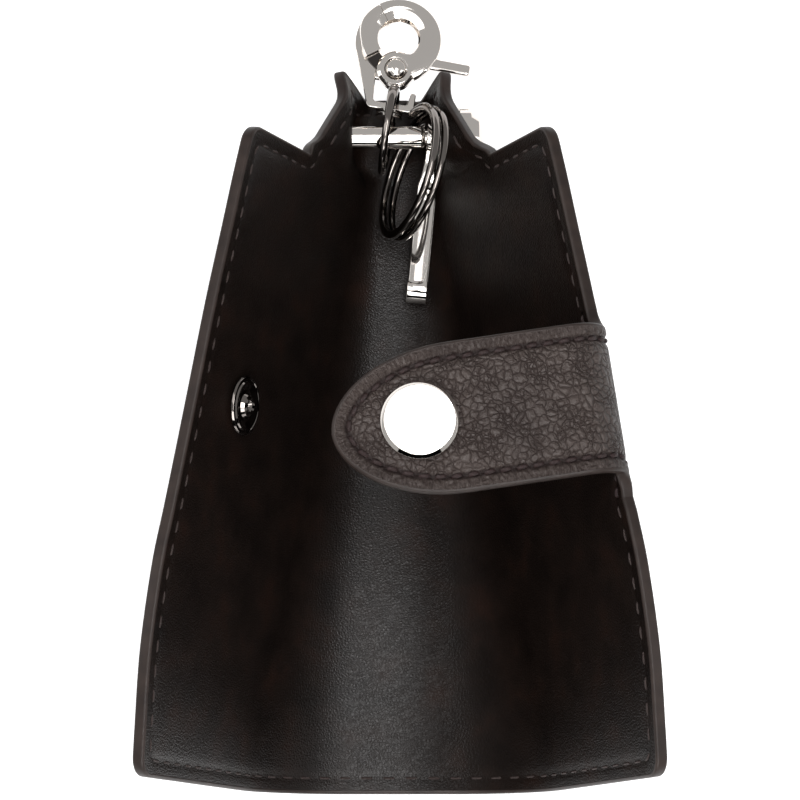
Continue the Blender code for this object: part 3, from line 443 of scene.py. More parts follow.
# height of the right wing's edge where the strap leaves it
edgeTop, edgeBottom = 26.4 * mm, 28.3 * mm
freeEdge = np.array([(36.4, 22.6), (27.5, 23.8), (18.8, 24.7), (5, 26.2), (-12, 27.4), (-28.5, 28.7), (-38.4, 29.6),
                     (-52, 28.9), (-64.5, 26.3), (-71.6, 24.6)]) * mm


def halfPattern(side):
    # outline of one half, from the spine's bottom round the wing to the neck's end and back down the spine;
    # seams are the pairs of points between which the border is no finished edge
    bottom = hide["bottomY"]
    ear, corner = freeEdge[0], freeEdge[-1]
    rim = curveThrough(freeEdge, 2 * mm)
    clear = 6 * mm
    rim = rim[(np.linalg.norm(rim - ear, axis=1) > clear) & (np.linalg.norm(rim - corner, axis=1) > clear)]
    if side > 0:
        above = rim[rim[:, 0] > seamTop + 1 * mm]
        below = rim[rim[:, 0] < seamBottom - 1 * mm]
        slot = np.array([(seamTop, edgeTop), (seamTop, strap["seamV"]), (seamBottom, strap["seamV"]),
                         (seamBottom, edgeBottom)])
        rim = np.vstack([above, slot, below])
    free = np.vstack([[ear], rim, [corner]])[::-1]
    corners = [(0, bottom), (foldArc(bottom), bottom), *wingToPattern(free)]
    radii = [0, 0, 4.4 * mm] + [0] * (len(free) - 2) + [4.6 * mm]
    late = np.linspace(1, 0, 9)[:, None]
    neckEnd = np.hstack([hide["hornArc"] * late, hide["neckEndY"] - hide["neckDip"] * (1 - late ** 4)])
    corners += [(foldArc(hide["notchY"]), hide["notchY"]), *neckEnd]
    radii += [0.9 * mm, 1.6 * mm] + [0] * 8
    outline = roundCorners(corners, radii)
    seams = [(outline[-1], outline[0])]
    if side > 0:
        marks = wingToPattern(slot[::-1])
        seams += list(zip(marks[:-1], marks[1:]))
    return outline, seams


levelWay = np.array([alongFold[1], -alongFold[0], 0])
strapSlope = math.atan2(upWing[2], upWing @ levelWay)
bendArc = strap["bend"] * (math.pi - strapSlope)
strapLength = strap["straight"] + bendArc + strap["flat"]


def strapSurface(p):
    # u along the fold, arc length up the wing, over the bend and back over the pouch
    u, arc = p[:, 0], p[:, 1]
    # outside the strap's lower side the wing stays flat up to its own edge
    beside = smoothStep((strap["centreU"] - strap["halfWidth"] - u) / strap["fillet"])
    flatTo = strap["straight"] + (edgeBottom - strap["rootV"]) * beside
    straight = np.minimum(arc, flatTo)
    turned = np.clip(arc - flatTo, 0, bendArc)
    level = np.maximum(arc - flatTo - bendArc, 0)
    angle = strapSlope + turned / strap["bend"]
    across = straight * math.cos(strapSlope) + strap["bend"] * (np.sin(angle) - math.sin(strapSlope)) - level
    up = straight * math.sin(strapSlope) + strap["bend"] * (math.cos(strapSlope) - np.cos(angle))
    root = foldStart + upWing * strap["rootV"]
    return root + np.outer(u, alongFold) + np.outer(across, levelWay) + np.outer(up, [0, 0, 1])


def strapPattern():
    # from the lower side seam round the tip to the upper one, in (u, arc)
    mid, half, fillet = strap["centreU"], strap["halfWidth"], strap["fillet"]
    low = strap["seamV"] - strap["rootV"]
    wingLow, wingHigh = edgeBottom - strap["rootV"], edgeTop - strap["rootV"]
    turn = np.linspace(0, math.pi / 2, 9)
    lower = np.stack([mid - half - fillet + fillet * np.sin(turn), wingLow + fillet * (1 - np.cos(turn))], 1)
    upper = np.stack([mid + half + fillet - fillet * np.sin(turn), wingHigh + fillet * (1 - np.cos(turn))], 1)[::-1]
    tip = strapLength - strap["point"]
    t = np.linspace(-math.pi / 2, math.pi / 2, 41)
    wide = np.sign(t) * (1 - np.cos(t) ** 2) ** strap["pointPower"]
    tongue = np.stack([mid + half * wide, tip + strap["point"] * np.cos(t)], 1)
    sides = [np.linspace(lower[-1], tongue[0], 24)[1:-1], np.linspace(tongue[-1], upper[0], 24)[1:-1]]
    foot = np.array([(mid + half + fillet, low), (mid - half - fillet, low)])
    outline = np.vstack([lower, sides[0], tongue, sides[1], upper, foot])
    return outline, [(upper[-1], foot[0]), (foot[0], foot[1]), (foot[1], lower[0])]


def inside(points, outline):
    # even-odd rule, whole arrays at once
    a, b = outline, np.roll(outline, -1, 0)
    x, y = points[:, :1], points[:, 1:]
    crosses = (a[:, 1] > y) != (b[:, 1] > y)
    at = a[:, 0] + (y - a[:, 1]) * (b[:, 0] - a[:, 0]) / np.where(b[:, 1] == a[:, 1], 1e-12, b[:, 1] - a[:, 1])
    return (crosses & (x < at)).sum(1) % 2 == 1


def nearestOn(points, line):
    # for each point and each piece of the line, the nearest place's share of the piece and its distance
    a, way = line[:-1], np.diff(line, axis=0)
    t = np.clip(((points[:, None] - a) * way).sum(-1) / np.maximum((way ** 2).sum(-1), 1e-16), 0, 1)
    return t, np.linalg.norm(points[:, None] - a - t[..., None] * way, axis=-1)


def distanceTo(points, lines):
    # shortest distance from each point to any of the polylines, some thousand points at a time
    best = np.full(len(points), 1.0)
    for line in lines:
        for start in range(0, len(points), 4000):
            part = slice(start, start + 4000)
            best[part] = np.minimum(best[part], nearestOn(points[part], line)[1].min(1))
    return best


def alongBorder(points, line):
    # (distance along the line to the nearest place on it, distance from it)
    run = runAlong(line)
    t, gap = nearestOn(points, line)
    every, best = np.arange(len(points)), gap.argmin(1)
    return np.stack([run[best] + t[every, best] * np.diff(run)[best], gap[every, best]], 1)


def insetMoves(outline, isSeam, distance):
    # how far each outline point moves inwards so that finished edges shift by the distance and seams stay
    area = 0.5 * np.sum(outline[:, 0] * np.roll(outline[:, 1], -1) - np.roll(outline[:, 0], -1) * outline[:, 1])
    way = unit(np.roll(outline, -1, 0) - outline)
    inward = leftOf(way) * np.sign(area)
    shift = np.where(isSeam, 0, distance)
    n1, n2, d1, d2 = np.roll(inward, 1, 0), inward, np.roll(shift, 1), shift
    cross = n1[:, 0] * n2[:, 1] - n1[:, 1] * n2[:, 0]
    straight = np.abs(cross) < 0.05
    safe = np.where(straight, 1, cross)
    moved = np.stack([(d1 * n2[:, 1] - d2 * n1[:, 1]) / safe, (n1[:, 0] * d2 - n2[:, 0] * d1) / safe], 1)
    plain = unit(n1 + n2) * np.maximum(d1, d2)[:, None]
    return np.where(straight[:, None], plain, moved)


def runsOf(isSeam):
    # stretches of finished edge, as lists of point numbers
    n = len(isSeam)
    starts = [i for i in range(n) if not isSeam[i] and isSeam[i - 1]]
    out = []
    for start in starts:
        run = [start]
        while not isSeam[run[-1] % n]:
            run.append(run[-1] + 1)
        out.append([i % n for i in run])
    return out


def fillPattern(outline, lines, step, lineStep):
    # triangles over an outline, with an even field of points and closer rows along the sewing lines
    low, high = outline.min(0), outline.max(0)
    rows = np.arange(low[1], high[1], step * 0.866)
    cols = np.arange(low[0], high[0] + step, step)
    field = np.stack([(cols[None, :] + (np.arange(len(rows)) % 2)[:, None] * step / 2).ravel(),
                      np.repeat(rows, len(cols))], 1)
    closer = []
    for line in lines:
        line = resample(line, lineStep)
        side = leftOf(unit(np.gradient(line, axis=0)))
        closer += [line + side * off for off in np.array([-1.5, -0.75, 0, 0.75, 1.5]) * stitching["grooveWidth"]]
    loop = np.vstack([outline, outline[:1]])
    if closer:
        closer = np.vstack(closer)
        closer = closer[inside(closer, outline)]
        closer = closer[distanceTo(closer, [loop]) > 0.3 * mm]
        field = field[distanceTo(field, lines) > stitching["grooveWidth"] * 2.2]
    else:
        closer = np.zeros((0, 2))
    field = field[inside(field, outline)]
    field = field[distanceTo(field, [loop]) > step * 0.45]
    points = np.vstack([outline, closer, field]) * 1000
    ring = list(range(len(outline)))
    verts, _, tris, *_ = delaunay_2d_cdt([Vector(p) for p in points.tolist()], [], [ring], 1, 1e-5)
    return np.array([v[:] for v in verts]) / 1000, [list(t) for t in tris]


def plySolid(name, flat, tris, depths, wave, lift, finish, fringe):
    # one ply: the pattern at two depths, joined round its border
    tris, count = np.array(tris), len(flat)
    points = np.vstack([lift(flat, depths[0] + wave)[0], lift(flat, depths[1])[0]])
    sides = {(a, b) for pair in ([0, 1], [1, 2], [2, 0]) for a, b in tris[:, pair].tolist()}
    walls = [[b, a, a + count, b + count] for a, b in sides if (b, a) not in sides]
    faces = tris.tolist() + (tris[:, ::-1] + count).tolist() + walls
    maps = {"skin": np.vstack([flat, flat]) / mm, "border": np.vstack([fringe, fringe]) / mm}
    return build(name, points, faces, finish, maps=maps)


def edgeBand(name, border, moves, lift, finish):
    # painted edge: both plies sanded flush with eased corners, the paint lapping a little onto each face;
    # moves are for an inset of 1 mm
    thick, ease, lap = hide["thick"] / mm, hide["edgeRadius"] / mm, hide["edgeInset"] / mm
    t = np.linspace(0, math.pi / 2, 6)
    corner = np.stack([ease * (1 - np.sin(t)), ease * (1 - np.cos(t)) - 0.03], 1)
    half = np.vstack([[(lap + 0.2, 0.25), (lap + 0.06, -0.01)], corner])
    profile = np.vstack([half, (half * [1, -1] + [0, thick])[::-1]])
    rings = [lift(border + moves * inset, depth * mm)[0] for inset, depth in profile]
    return tube(name, np.stack(rings, 1), finish, smoothAngle=60)


def stitchRow(name, line, sewing, depth, side, lift, finish):
    # each stitch is a tapered capsule along the line, its ends pulled into the leather
    run, radius, length = runAlong(line), sewing["radius"], sewing["length"]
    count = int(run[-1] / sewing["pitch"])
    centres = (np.arange(count) + 0.5) * run[-1] / count
    t = np.linspace(-1, 1, 7)
    at = (centres[:, None] + t * length / 2).ravel()
    ahead = 0.1 * mm
    way = unit(pointsAt(line, run, at + ahead) - pointsAt(line, run, at - ahead))
    flat = pointsAt(line, run, at) + leftOf(way) * (np.tile(t, count) * sewing["lean"])[:, None]
    sink = np.tile(np.abs(t) ** 3, count) * radius * 1.6
    depths = depth + side * (radius * sewing["proud"] - sink)
    centre, normal = lift(flat, depths)
    tangent = unit(lift(flat + way * ahead, depths)[0] - centre)
    sideways = unit(np.cross(normal, tangent))
    girth = np.tile(np.sqrt(np.maximum(1 - np.abs(t) ** 4, 0.06)), count) * radius
    sides = 7
    a = np.arange(sides) * 2 * math.pi / sides
    rings = centre[:, None] + girth[:, None, None] * (sideways[:, None] * np.cos(a)[:, None] * 1.15
                                                      + normal[:, None] * np.sin(a)[:, None])
    per, one = len(t) * sides, tubeFaces(len(t), sides)
    faces = [[i + k * per for i in face] for k in range(count) for face in one]
    around = np.tile(np.abs(a / math.pi - 1), count * len(t))
    lengthwise = np.repeat(np.tile(t, count), sides)
    uv = np.stack([lengthwise * length / (2 * radius), around * math.pi], 1)
    return build(name, rings.reshape(-1, 3), faces, finish, 60, {"stitch": uv})


plies = {"outer": (0.0, 1.05 * mm), "inner": (2.0 * mm, 1.15 * mm)}


def leatherPanel(label, outline, seams, lift, sewing, thread, dress):
    # one panel with both plies, edge bands and stitches; dress bakes each piece's transform
    outline = outline[np.linalg.norm(np.roll(outline, -1, 0) - outline, axis=1) > 0.05 * mm]
    dense = []
    for a, b in zip(outline, np.roll(outline, -1, 0)):
        count = max(1, math.ceil(np.linalg.norm(b - a) / hide["borderStep"]))
        dense += [a + (b - a) * k / count for k in range(count)]
    outline = np.array(dense)
    middle = (outline + np.roll(outline, -1, 0)) / 2
    isSeam = np.zeros(len(outline), bool)
    for a, b in seams:
        isSeam |= distanceTo(middle, [np.array([a, b])]) < 0.02 * mm
    moves = insetMoves(outline, isSeam, 1.0)
    runs = runsOf(isSeam)
    deeper = insetMoves(outline, isSeam, sewing["inset"])
    lines = []
    for run in runs:
        line = resample(outline[run] + deeper[run], 0.5 * mm)
        for _ in range(12):
            line[1:-1] = (line[:-2] + line[1:-1] * 2 + line[2:]) / 4
        lines.append(line)
    flat, tris = fillPattern(outline + moves * hide["edgeInset"], lines, hide["grid"], hide["lineGrid"])
    fringe = np.full((len(flat), 2), 1.0)
    for run in runs:
        found = alongBorder(flat, outline[run])
        fringe = np.where((found[:, 1] < fringe[:, 1])[:, None], found, fringe)
    # the leather dips along the stitches, and its skin rolls up beside the edge
    wave = sewing["groove"] * np.exp(-(distanceTo(flat, lines) / sewing["grooveWidth"]) ** 2)
    wave -= sewing["roll"] * np.exp(-((fringe[:, 1] - hide["rollFrom"]) / hide["rollWidth"]) ** 2)
    outer = plySolid("outer_leather_" + label, flat, tris, plies["outer"], wave, lift, outerSkin, fringe)
    inner = plySolid("lining_" + label, flat, tris, plies["inner"], 0 * wave, lift, innerSkin, fringe)
    made = [(outer, "outer_leather"), (inner, "lining_leather")]
    # the lining dips after its sharp edges are marked, so that none is marked in the dip
    co = np.array([v.co for v in inner.data.vertices])
    co[:len(flat)], _ = lift(flat, plies["inner"][0] - wave)
    inner.data.vertices.foreach_set("co", co.ravel())
    inner.data.update()
    for k, run in enumerate(runs):
        made.append((edgeBand(f"edge_{label}_{k}", outline[run], moves[run] * mm, lift, paint), "outer_leather"))
    faces = ("inside", plies["inner"][0] - sewing["groove"], 1), ("outside", sewing["groove"], -1)
    for k, line in enumerate(lines):
        for face, depth, way in faces:
            made.append((stitchRow(f"stitches_{label}_{face}_{k}", line, sewing, depth, way, lift, thread),
                         "outer_leather"))
    for piece, slotName in made:
        dress(piece)
    print("panel", label, len(flat), "points,", len(tris), "triangles")
    return made


strapSewing = dict(stitching, inset=2.6 * mm, pitch=2.57 * mm, length=2.1 * mm, radius=0.34 * mm, groove=0.5 * mm,
                   lean=0.14 * mm, roll=0.16 * mm, proud=0.75)
bend = np.stack([foldStart - upWing * hide["foldBend"], foldStart + upWing * hide["foldBend"]])
mirror = np.array([-1, 1, 1])
for side, label in ((-1, "left"), (1, "right")):
    outline, seams = halfPattern(side)
    if side < 0:
        outline = outline * [-1, 1]
        seams = [(a * [-1, 1], b * [-1, 1]) for a, b in seams]
    bendFrom, bendTo = bend if side > 0 else bend * mirror

    def dress(piece, label=label, start=bendFrom, end=bendTo):
        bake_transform(piece)

    leatherPanel(label, outline, seams, lifter(backSurface, 1), stitching, bodyThread, dress)


def dressStrap(piece):
    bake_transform(piece)


leatherPanel("strap", *strapPattern(), lifter(strapSurface, -1), strapSewing, strapThread, dressStrap)
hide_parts("shell_left", "shell_back")
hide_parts("lining_left", "lining_back")
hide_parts("shell_right")
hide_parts("lining_right")
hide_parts("strap_outer")
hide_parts("strap_lining")
print("leather made")


# hardware: the same places and sizes as the solids, in millimetres, with eased rims

def dressed(piece, slotName, body, *nodes):
    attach(piece, body)
    if nodes:
        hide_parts(*nodes)


def soft(profile, radius, closed=False):
    # rounds a profile's corners; the two ends of an open one stay
    radii = [radius] * len(profile)
    if not closed:
        radii[0] = radii[-1] = 0
    return roundCorners(profile, radii, 5)


def turned(name, profile, rim, centre, axis, finish, *wear, closed=False, steps=96):
    # profile is (radius, height) in mm, its corners eased by the rim; an open one ends in small flat caps
    z = unit(np.array(axis, float))
    x = np.array((0, 1, 0) if abs(axis[2]) > 0.9 else (0, 0, 1), float)
    x = unit(x - z * (x @ z))
    a = np.arange(steps) * 2 * math.pi / steps
    around = np.cos(a)[:, None] * x + np.sin(a)[:, None] * np.cross(z, x)
    p = soft(profile, rim, closed) * mm
    rings = centre + p[:, 0, None, None] * around + p[:, 1, None, None] * z
    dressed(tube(name, rings, finish, closed, 32), *wear)


zUp = np.array([0, 0, 1.0])
snap = {"fromTip": 14 * mm, "capRadius": 6.25, "faceRadius": 5.3, "seat": 0.3, "thick": 1.4, "studU": -8.5 * mm,
        "studV": 10.8 * mm}
seat = strapSurface(np.array([[strap["centreU"], strapLength - snap["fromTip"]]]))[0]
base, face = snap["seat"], snap["seat"] + snap["thick"]
capLine = [(0.02, -3.4), (1.2, -3.4), (1.2, base), (5.95, base), (snap["capRadius"], base + 0.3),
           (snap["capRadius"] - 0.08, base + 0.8), (snap["faceRadius"] + 0.3, face), (0.02, face)]
turned("snap_cap_turned", capLine, 0.14, seat, zUp, mirrorNickel, "chrome", "strap", "snap_cap", steps=160)
socketLine = [(1.5, -2.3), (5.2, -2.3), (5.2, -3.65), (4.3, -5.3), (3.0, -5.3), (3.0, -4.85), (3.6, -4.85),
              (3.6, -3.65), (3.0, -3.65), (3.0, -3.2), (1.5, -3.2)]
turned("snap_socket_turned", socketLine, 0.12, seat, zUp, blackNickel, "black_nickel", "strap", "snap_socket",
       closed=True)
studOut = mirror * (foldStart + alongFold * snap["studU"] + upWing * snap["studV"])
outWay = mirror * outOfWing
studIn = studOut - outWay * hide["thick"]
studLine = [(1.5, 0.3), (5.0, 0.3), (5.0, 0.75), (4.1, 1.2), (2.1, 1.2), (2.6, 2.85), (2.08, 3.7), (1.5, 3.7)]
turned("snap_stud_turned", studLine, 0.15, studOut, outWay, blackNickel, "black_nickel", "left_wing", "snap_stud",
       closed=True)
eyeletLine = [(0.6, -4.4), (1.2, -4.4), (1.2, 0.3), (4.6, 0.3), (5.0, 0.55), (4.85, 0.95), (4.45, 1.05), (4.25, 0.8),
              (4.0, 1.15), (3.6, 1.1), (2.7, 0.75), (2.1, 0.8), (1.8, 1.4), (1.35, 1.75), (0.95, 1.45), (0.6, 0.9)]
turned("snap_eyelet_turned", eyeletLine, 0.1, studIn, -outWay, ringNickel, "black_nickel", "left_wing", "snap_eyelet",
       closed=True)

post = {"y": 45.2, "z": 10.5, "left": -10.7, "right": 8.9, "barrelEnd": 4.4}
postCentre = np.array([0, post["y"], post["z"]]) * mm
barrelLine = [(0.02, post["left"] - 2), (2.2, post["left"] - 2), (3.7, post["left"] - 0.8), (3.7, post["left"]),
              (2.0, post["left"]), (2.0, 3.75), (1.6, post["barrelEnd"]), (1.42, post["barrelEnd"]), (1.42, -0.9),
              (0.02, -0.9)]
turned("post_barrel_turned", barrelLine, 0.16, postCentre, (1, 0, 0), chrome, "chrome", "back", "post_barrel")
nut = post["right"] + 1.1
screwLine = [(0.02, -0.6), (1.2, -0.6), (1.2, post["right"]), (3.0, post["right"]), (3.0, nut), (5.0, nut),
             (5.4, nut + 0.55), (5.4, nut + 2.5), (4.45, nut + 3.95), (2.4, nut + 4.6), (0.02, nut + 4.6)]
turned("post_screw_turned", screwLine, 0.25, postCentre, (1, 0, 0), chrome, "chrome", "back", "post_screw")


connectorRing = {"centre": (-2.1, 46.5, 10.7), "radius": 7.4, "width": (0.62, 0.36), "depth": (0.7, 0.1), "turns": 1,
                 "pitch": 0, "power": 2}
keyRing = {"centre": (2.35, 37.71, 14.3), "radius": 11.55, "width": (0.6, 0), "depth": (0.8, 0), "turns": 2,
           "pitch": 1.7, "power": 2.7, "axis": (0.901, -0.210, -0.379), "long": (0.054, 0.922, -0.384)}


def ringWire(name, ring, along, up, *wear):
    # wire wound round along x up; width and depth are half sizes, across the ring's plane and in it, each as
    # (least, what is added towards the far end)
    steps, closed = 120, ring["turns"] == 1
    t = np.arange(steps * ring["turns"] + (not closed)) / steps - (0 if closed else ring["turns"] / 2)
    a = 2 * math.pi * t
    across = np.cross(along, up)
    out = np.cos(a)[:, None] * along + np.sin(a)[:, None] * up
    ease = np.ones(len(t))
    if not closed:
        # the cut ends are rounded over their last four rings
        fromEnd = np.minimum(np.arange(len(t)), np.arange(len(t))[::-1])
        ease = np.sqrt(np.clip(1 - (1 - np.minimum(fromEnd / 4, 1)) ** 2, 0.02, 1))
    b = np.arange(20) * math.pi / 10
    c, d = (np.sign(v) * np.abs(v) ** (2 / ring["power"]) for v in (np.cos(b), np.sin(b)))
    far = (0.5 + 0.5 * np.cos(a)) ** 1.5
    w, h = (((least + more * far) * ease)[:, None, None] for least, more in (ring["width"], ring["depth"]))
    middle = np.array(ring["centre"]) * mm + out * ring["radius"] * mm + across * (ring["pitch"] * t * mm)[:, None]
    rings = middle[:, None] + (h * c[None, :, None] * out[:, None] + w * d[None, :, None] * across) * mm
    dressed(tube(name, rings, ringNickel, closed, 60), *wear)


clasp = {"centre": np.array([-0.7, 57.8, 9.2]) * mm, "yaw": math.radians(9), "half": 1.7, "holeAlong": 5.3,
         "holeAcross": -0.4, "outer": 7.7, "inner": 3.3, "faceRadius": 4.6, "faceShift": 1.1, "leftOuter": 7.6,
         "crescent": 6.7, "leftJaw": (36.6, 126, 30), "rightJaw": (35.5, -150, 48), "taperFrom": 62, "taper": 44}
claspAlong = np.array([math.sin(clasp["yaw"]), math.cos(clasp["yaw"]), 0])
claspAcross = np.array([math.cos(clasp["yaw"]), -math.sin(clasp["yaw"]), 0])

ringWire("connector_ring_cast", connectorRing, claspAlong, zUp, "black_nickel", "connector", "connector_ring")
ringAxis = unit(np.array(keyRing["axis"]))
ringLong = np.array(keyRing["long"])
ringLong = unit(ringLong - ringAxis * (ringLong @ ringAxis))
ringWire("split_ring_wound", keyRing, ringLong, np.cross(ringAxis, ringLong), "black_nickel", "split_ring",
         "split_ring")


def claspAt(a, b, up):
    # mm along the clasp from its rivet, across it and up
    a, b, up = (np.asarray(v, float)[..., None] * mm for v in (a, b, up))
    return clasp["centre"] + a * claspAlong + b * claspAcross + up * zUp


def jawSweep(name, turns, outer, low, *wear):
    # section swept round the hole: eased outer rim, flat face, then a stepped bevel that widens away from the rivet
    t = np.radians(np.linspace(*turns))
    top, hole = clasp["half"], clasp["inner"]
    shift, wide = clasp["faceShift"], clasp["faceRadius"]
    faceEdge = np.minimum(shift * np.cos(t) + np.sqrt(wide ** 2 - (shift * np.sin(t)) ** 2), outer - 0.9)
    w = faceEdge - hole
    section = [(outer - 0.35, low), (outer - 0.1, low + 0.1), (outer, low + 0.32), (outer, top - 0.5),
               (outer - 0.06, top - 0.24), (outer - 0.2, top - 0.07), (outer - 0.42, top),
               (faceEdge + 0.05, top), (faceEdge - 0.02, top - 0.03), (faceEdge - 0.6 * w, top - 0.24 * w),
               (faceEdge - 0.605 * w, top - 0.27 * w), (hole + 0.22 * w, top - 0.5 * w),
               (hole + 0.19 * w, top - 0.54 * w), (hole + 0.19 * w, low + 0.14), (hole + 0.19 * w + 0.12, low)]
    r, z = (np.stack([np.broadcast_to(v, t.shape) for v in column], 1) for column in zip(*section))
    rings = claspAt(clasp["holeAlong"] + r * np.cos(t)[:, None], clasp["holeAcross"] - r * np.sin(t)[:, None], z)
    dressed(tube(name, rings, chrome, False, 24), *wear)


def claspPlate(name, outline, low, high, rim, finish, *wear):
    # flat plate between two levels, all its rims eased
    layers = [claspAt(*np.transpose(outline), z) for z in (low, high)]
    made = tube(name, layers, finish, False, 30)
    step = made.modifiers.new("eased_rims", "BEVEL")
    step.width = rim * mm
    step.segments = 4
    step.limit_method = "ANGLE"
    step.angle_limit = math.radians(40)
    step.harden_normals = True
    dressed(made, *wear)


def holeArc(radius, start, end, steps):
    t = np.radians(np.linspace(start, end, steps))
    return np.stack([clasp["holeAlong"] + radius * np.cos(t), clasp["holeAcross"] - radius * np.sin(t)], 1).tolist()


frameLine = holeArc(clasp["outer"], 31, 112, 16)
frameLine += roundCorners([(-7.2, -4.6), (-7.2, 4.2), (-3.6, 4.2), (-3.6, 3.3), (-6.0, 2.8), (-6.0, -3.2), (0.8, -3.6)],
                          [0.9, 0.9, 0.4, 0.2, 0.5, 0.7, 0]).tolist()
frameLine += holeArc(3.7, 148, 31, 14)
claspPlate("clasp_frame", frameLine, -clasp["half"], 0.1, 0.35, chrome, "chrome", "clasp", "clasp_body")
taper = smoothStep((np.linspace(*clasp["leftJaw"]) - clasp["taperFrom"]) / clasp["taper"])
jawOuter = clasp["leftOuter"] - (clasp["leftOuter"] - clasp["crescent"]) * taper
jawSweep("clasp_left_jaw", clasp["leftJaw"], jawOuter, 0.12, "chrome", "clasp")
# a black plate in the clasp's mouth stands in for the shade of the deep gap there: painted shade
mouthLine = holeArc(6.4, 128, 149, 8) + holeArc(3.9, 149, 128, 8)
claspPlate("clasp_mouth_shade_plate", mouthLine, 0.12, 0.5, 0.12, blackNickel, "black_nickel", "clasp")
lowerBoss = [(1.5, -1.7), (3.2, -1.7), (3.2, -0.15), (2.3, -0.15), (2.3, -1.25), (1.5, -1.25)]
turned("clasp_lower_boss", lowerBoss, 0.2, clasp["centre"], zUp, chrome, "chrome", "clasp", closed=True)
web = [(-1.7, -1.6), (-1.7, -4.2), (1.7, -4.2), (1.7, -1.6)]
claspPlate("clasp_web", web, -1.6, -0.25, 0.2, chrome, "chrome", "clasp")
rivetLine = soft([(0.02, -2.45), (1.6, -2.45), (2.0, -2.0), (1.2, -2.0), (1.2, 1.6)], 0.12).tolist()
domeTurn = np.linspace(0, math.pi / 2 - 0.02, 12)
rivetLine += np.stack([1.8 * np.cos(domeTurn), 1.62 + 1.05 * np.sin(domeTurn)], 1).tolist()
turned("clasp_rivet_domed", rivetLine, 0, clasp["centre"], zUp, chrome, "chrome", "clasp", "clasp_rivet")

jawSweep("clasp_right_jaw", clasp["rightJaw"], clasp["outer"], 0.15, "chrome", "clasp_gate", "clasp_gate")
bossLine = [(1.5, 0.15), (3.38, 0.15), (3.38, 1.3), (3.05, 1.56), (2.8, 1.72), (2.08, 1.72), (1.95, 1.35), (1.5, 1.35)]
turned("clasp_gate_boss", bossLine, 0.07, clasp["centre"], zUp, chrome, "chrome", "clasp_gate", closed=True)
rootLine = roundCorners([(2.7, -1.5), (-0.9, 2.9), (0.5, 5.6), (3.2, 7.0), (4.6, 4.6), (3.1, 2.1)],
                        [0, 0.5, 0.6, 0.6, 0.4, 0.4]).tolist()
claspPlate("clasp_gate_root", rootLine, 0.2, 1.69, 0.22, chrome, "chrome", "clasp_gate")
thumbLine = roundCorners([(3.1, 3.0), (1.0, 3.0), (0.75, 13.0), (2.75, 13.0)], [0, 0, 0.5, 0.5]).tolist()
claspPlate("clasp_thumb_piece", thumbLine, 0.3, 1.55, 0.45, chrome, "chrome", "clasp_gate")

flanges = [(0.02, 0), (2.4, 0), (2.4, 0.6), (1.1, 0.6), (1.1, 0.8), (2.4, 0.8), (2.4, 1.4), (0.02, 1.4)]
turned("swivel_barrel_turned", flanges, 0.12, claspAt(-7.5, 0, 0), -claspAlong, chrome, "chrome", "swivel",
       "swivel_barrel")

keyHook = {"x": 5.55, "yaw": math.radians(5.5), "eye": 2.0, "low": 3.0, "length": 28.5, "level": 22.23, "curl": 2.1,
           "thick": 0.8, "narrow": 1.5, "wide": 3.6, "leaf": 0.4, "leafWide": 3.3, "leafEnd": 2.6, "pivotShare": 0.3}


def hookAt(across, along, up):
    # mm across the hook, along it from the post, and up from the floor
    c, s = math.cos(keyHook["yaw"]), math.sin(keyHook["yaw"])
    x, y = keyHook["x"] + across * c - along * s, post["y"] - along * c - across * s
    return np.stack([x, y, up + 0 * along], -1) * mm


def strip(name, route, width, thick, *wear):
    # flat strip along a route of (along, up), its four long edges eased
    off = leftOf(unit(np.gradient(route, axis=0)))
    r = min(0.18, thick * 0.42)
    turn = np.radians(np.linspace(0, 90, 5))
    halfW, halfT = width / 2 - r, thick / 2 - r
    signX, signH = np.repeat([(1, -1, -1, 1), (1, 1, -1, -1)], len(turn), axis=1)
    a = np.concatenate([turn + k * math.pi / 2 for k in range(4)])
    x, h = signX * halfW[:, None] + r * np.cos(a), signH * halfT + r * np.sin(a) + 0 * halfW[:, None]
    p = route[:, None] + h[..., None] * off[:, None]
    dressed(tube(name, hookAt(x, p[..., 0], p[..., 1]), chrome, False, 40), *wear)


eyeTurn = np.radians(np.linspace(-70, -320, 44))
eyeRoute = np.stack([keyHook["eye"] * np.sin(eyeTurn), post["z"] - keyHook["eye"] * np.cos(eyeTurn)], 1)
drop = eyeRoute[-1]
fall = np.array([keyHook["level"], keyHook["low"]]) - drop


def shankAt(share):
    # the shank slopes down from the eye and levels out at its lowest point
    return drop + fall * np.stack([share, share * (2 - share)], -1)


straightEnd = keyHook["length"] - keyHook["curl"]
curlTurn = np.radians(np.linspace(0, 205, 30))
curl = np.stack([straightEnd + keyHook["curl"] * np.sin(curlTurn),
                 keyHook["low"] + keyHook["curl"] * (1 - np.cos(curlTurn))], 1)
hookRoute = np.vstack([eyeRoute, shankAt(np.linspace(0, 1, 25)[1:]), [(straightEnd - 2, keyHook["low"])], curl])
widening = smoothStep((hookRoute[:, 0] - keyHook["eye"]) / (keyHook["length"] * 0.3))
hookWidth = keyHook["narrow"] + (keyHook["wide"] - keyHook["narrow"]) * widening
strip("key_hook_strip", hookRoute, hookWidth, keyHook["thick"], "chrome", "key_hook", "key_hook")
at = keyHook["pivotShare"]
pivot = shankAt(at)
leafWay = unit(fall * [1, 2 * (1 - at)])
leafOff = np.array([-leafWay[1], leafWay[0]])
leafPivot = pivot + leafOff * (keyHook["thick"] / 2 + 0.3 + keyHook["leaf"] / 2)
leafTip = np.array([straightEnd, keyHook["low"] + keyHook["curl"] * 2 - keyHook["thick"] / 2 - 0.7])
leafRoute = np.vstack([leafPivot - leafWay * 1.3, leafPivot, np.linspace(leafPivot + leafWay * 1.3, leafTip, 14)])
leafWidth = np.full(len(leafRoute), keyHook["leafWide"])
leafWidth[0] = keyHook["leafEnd"]
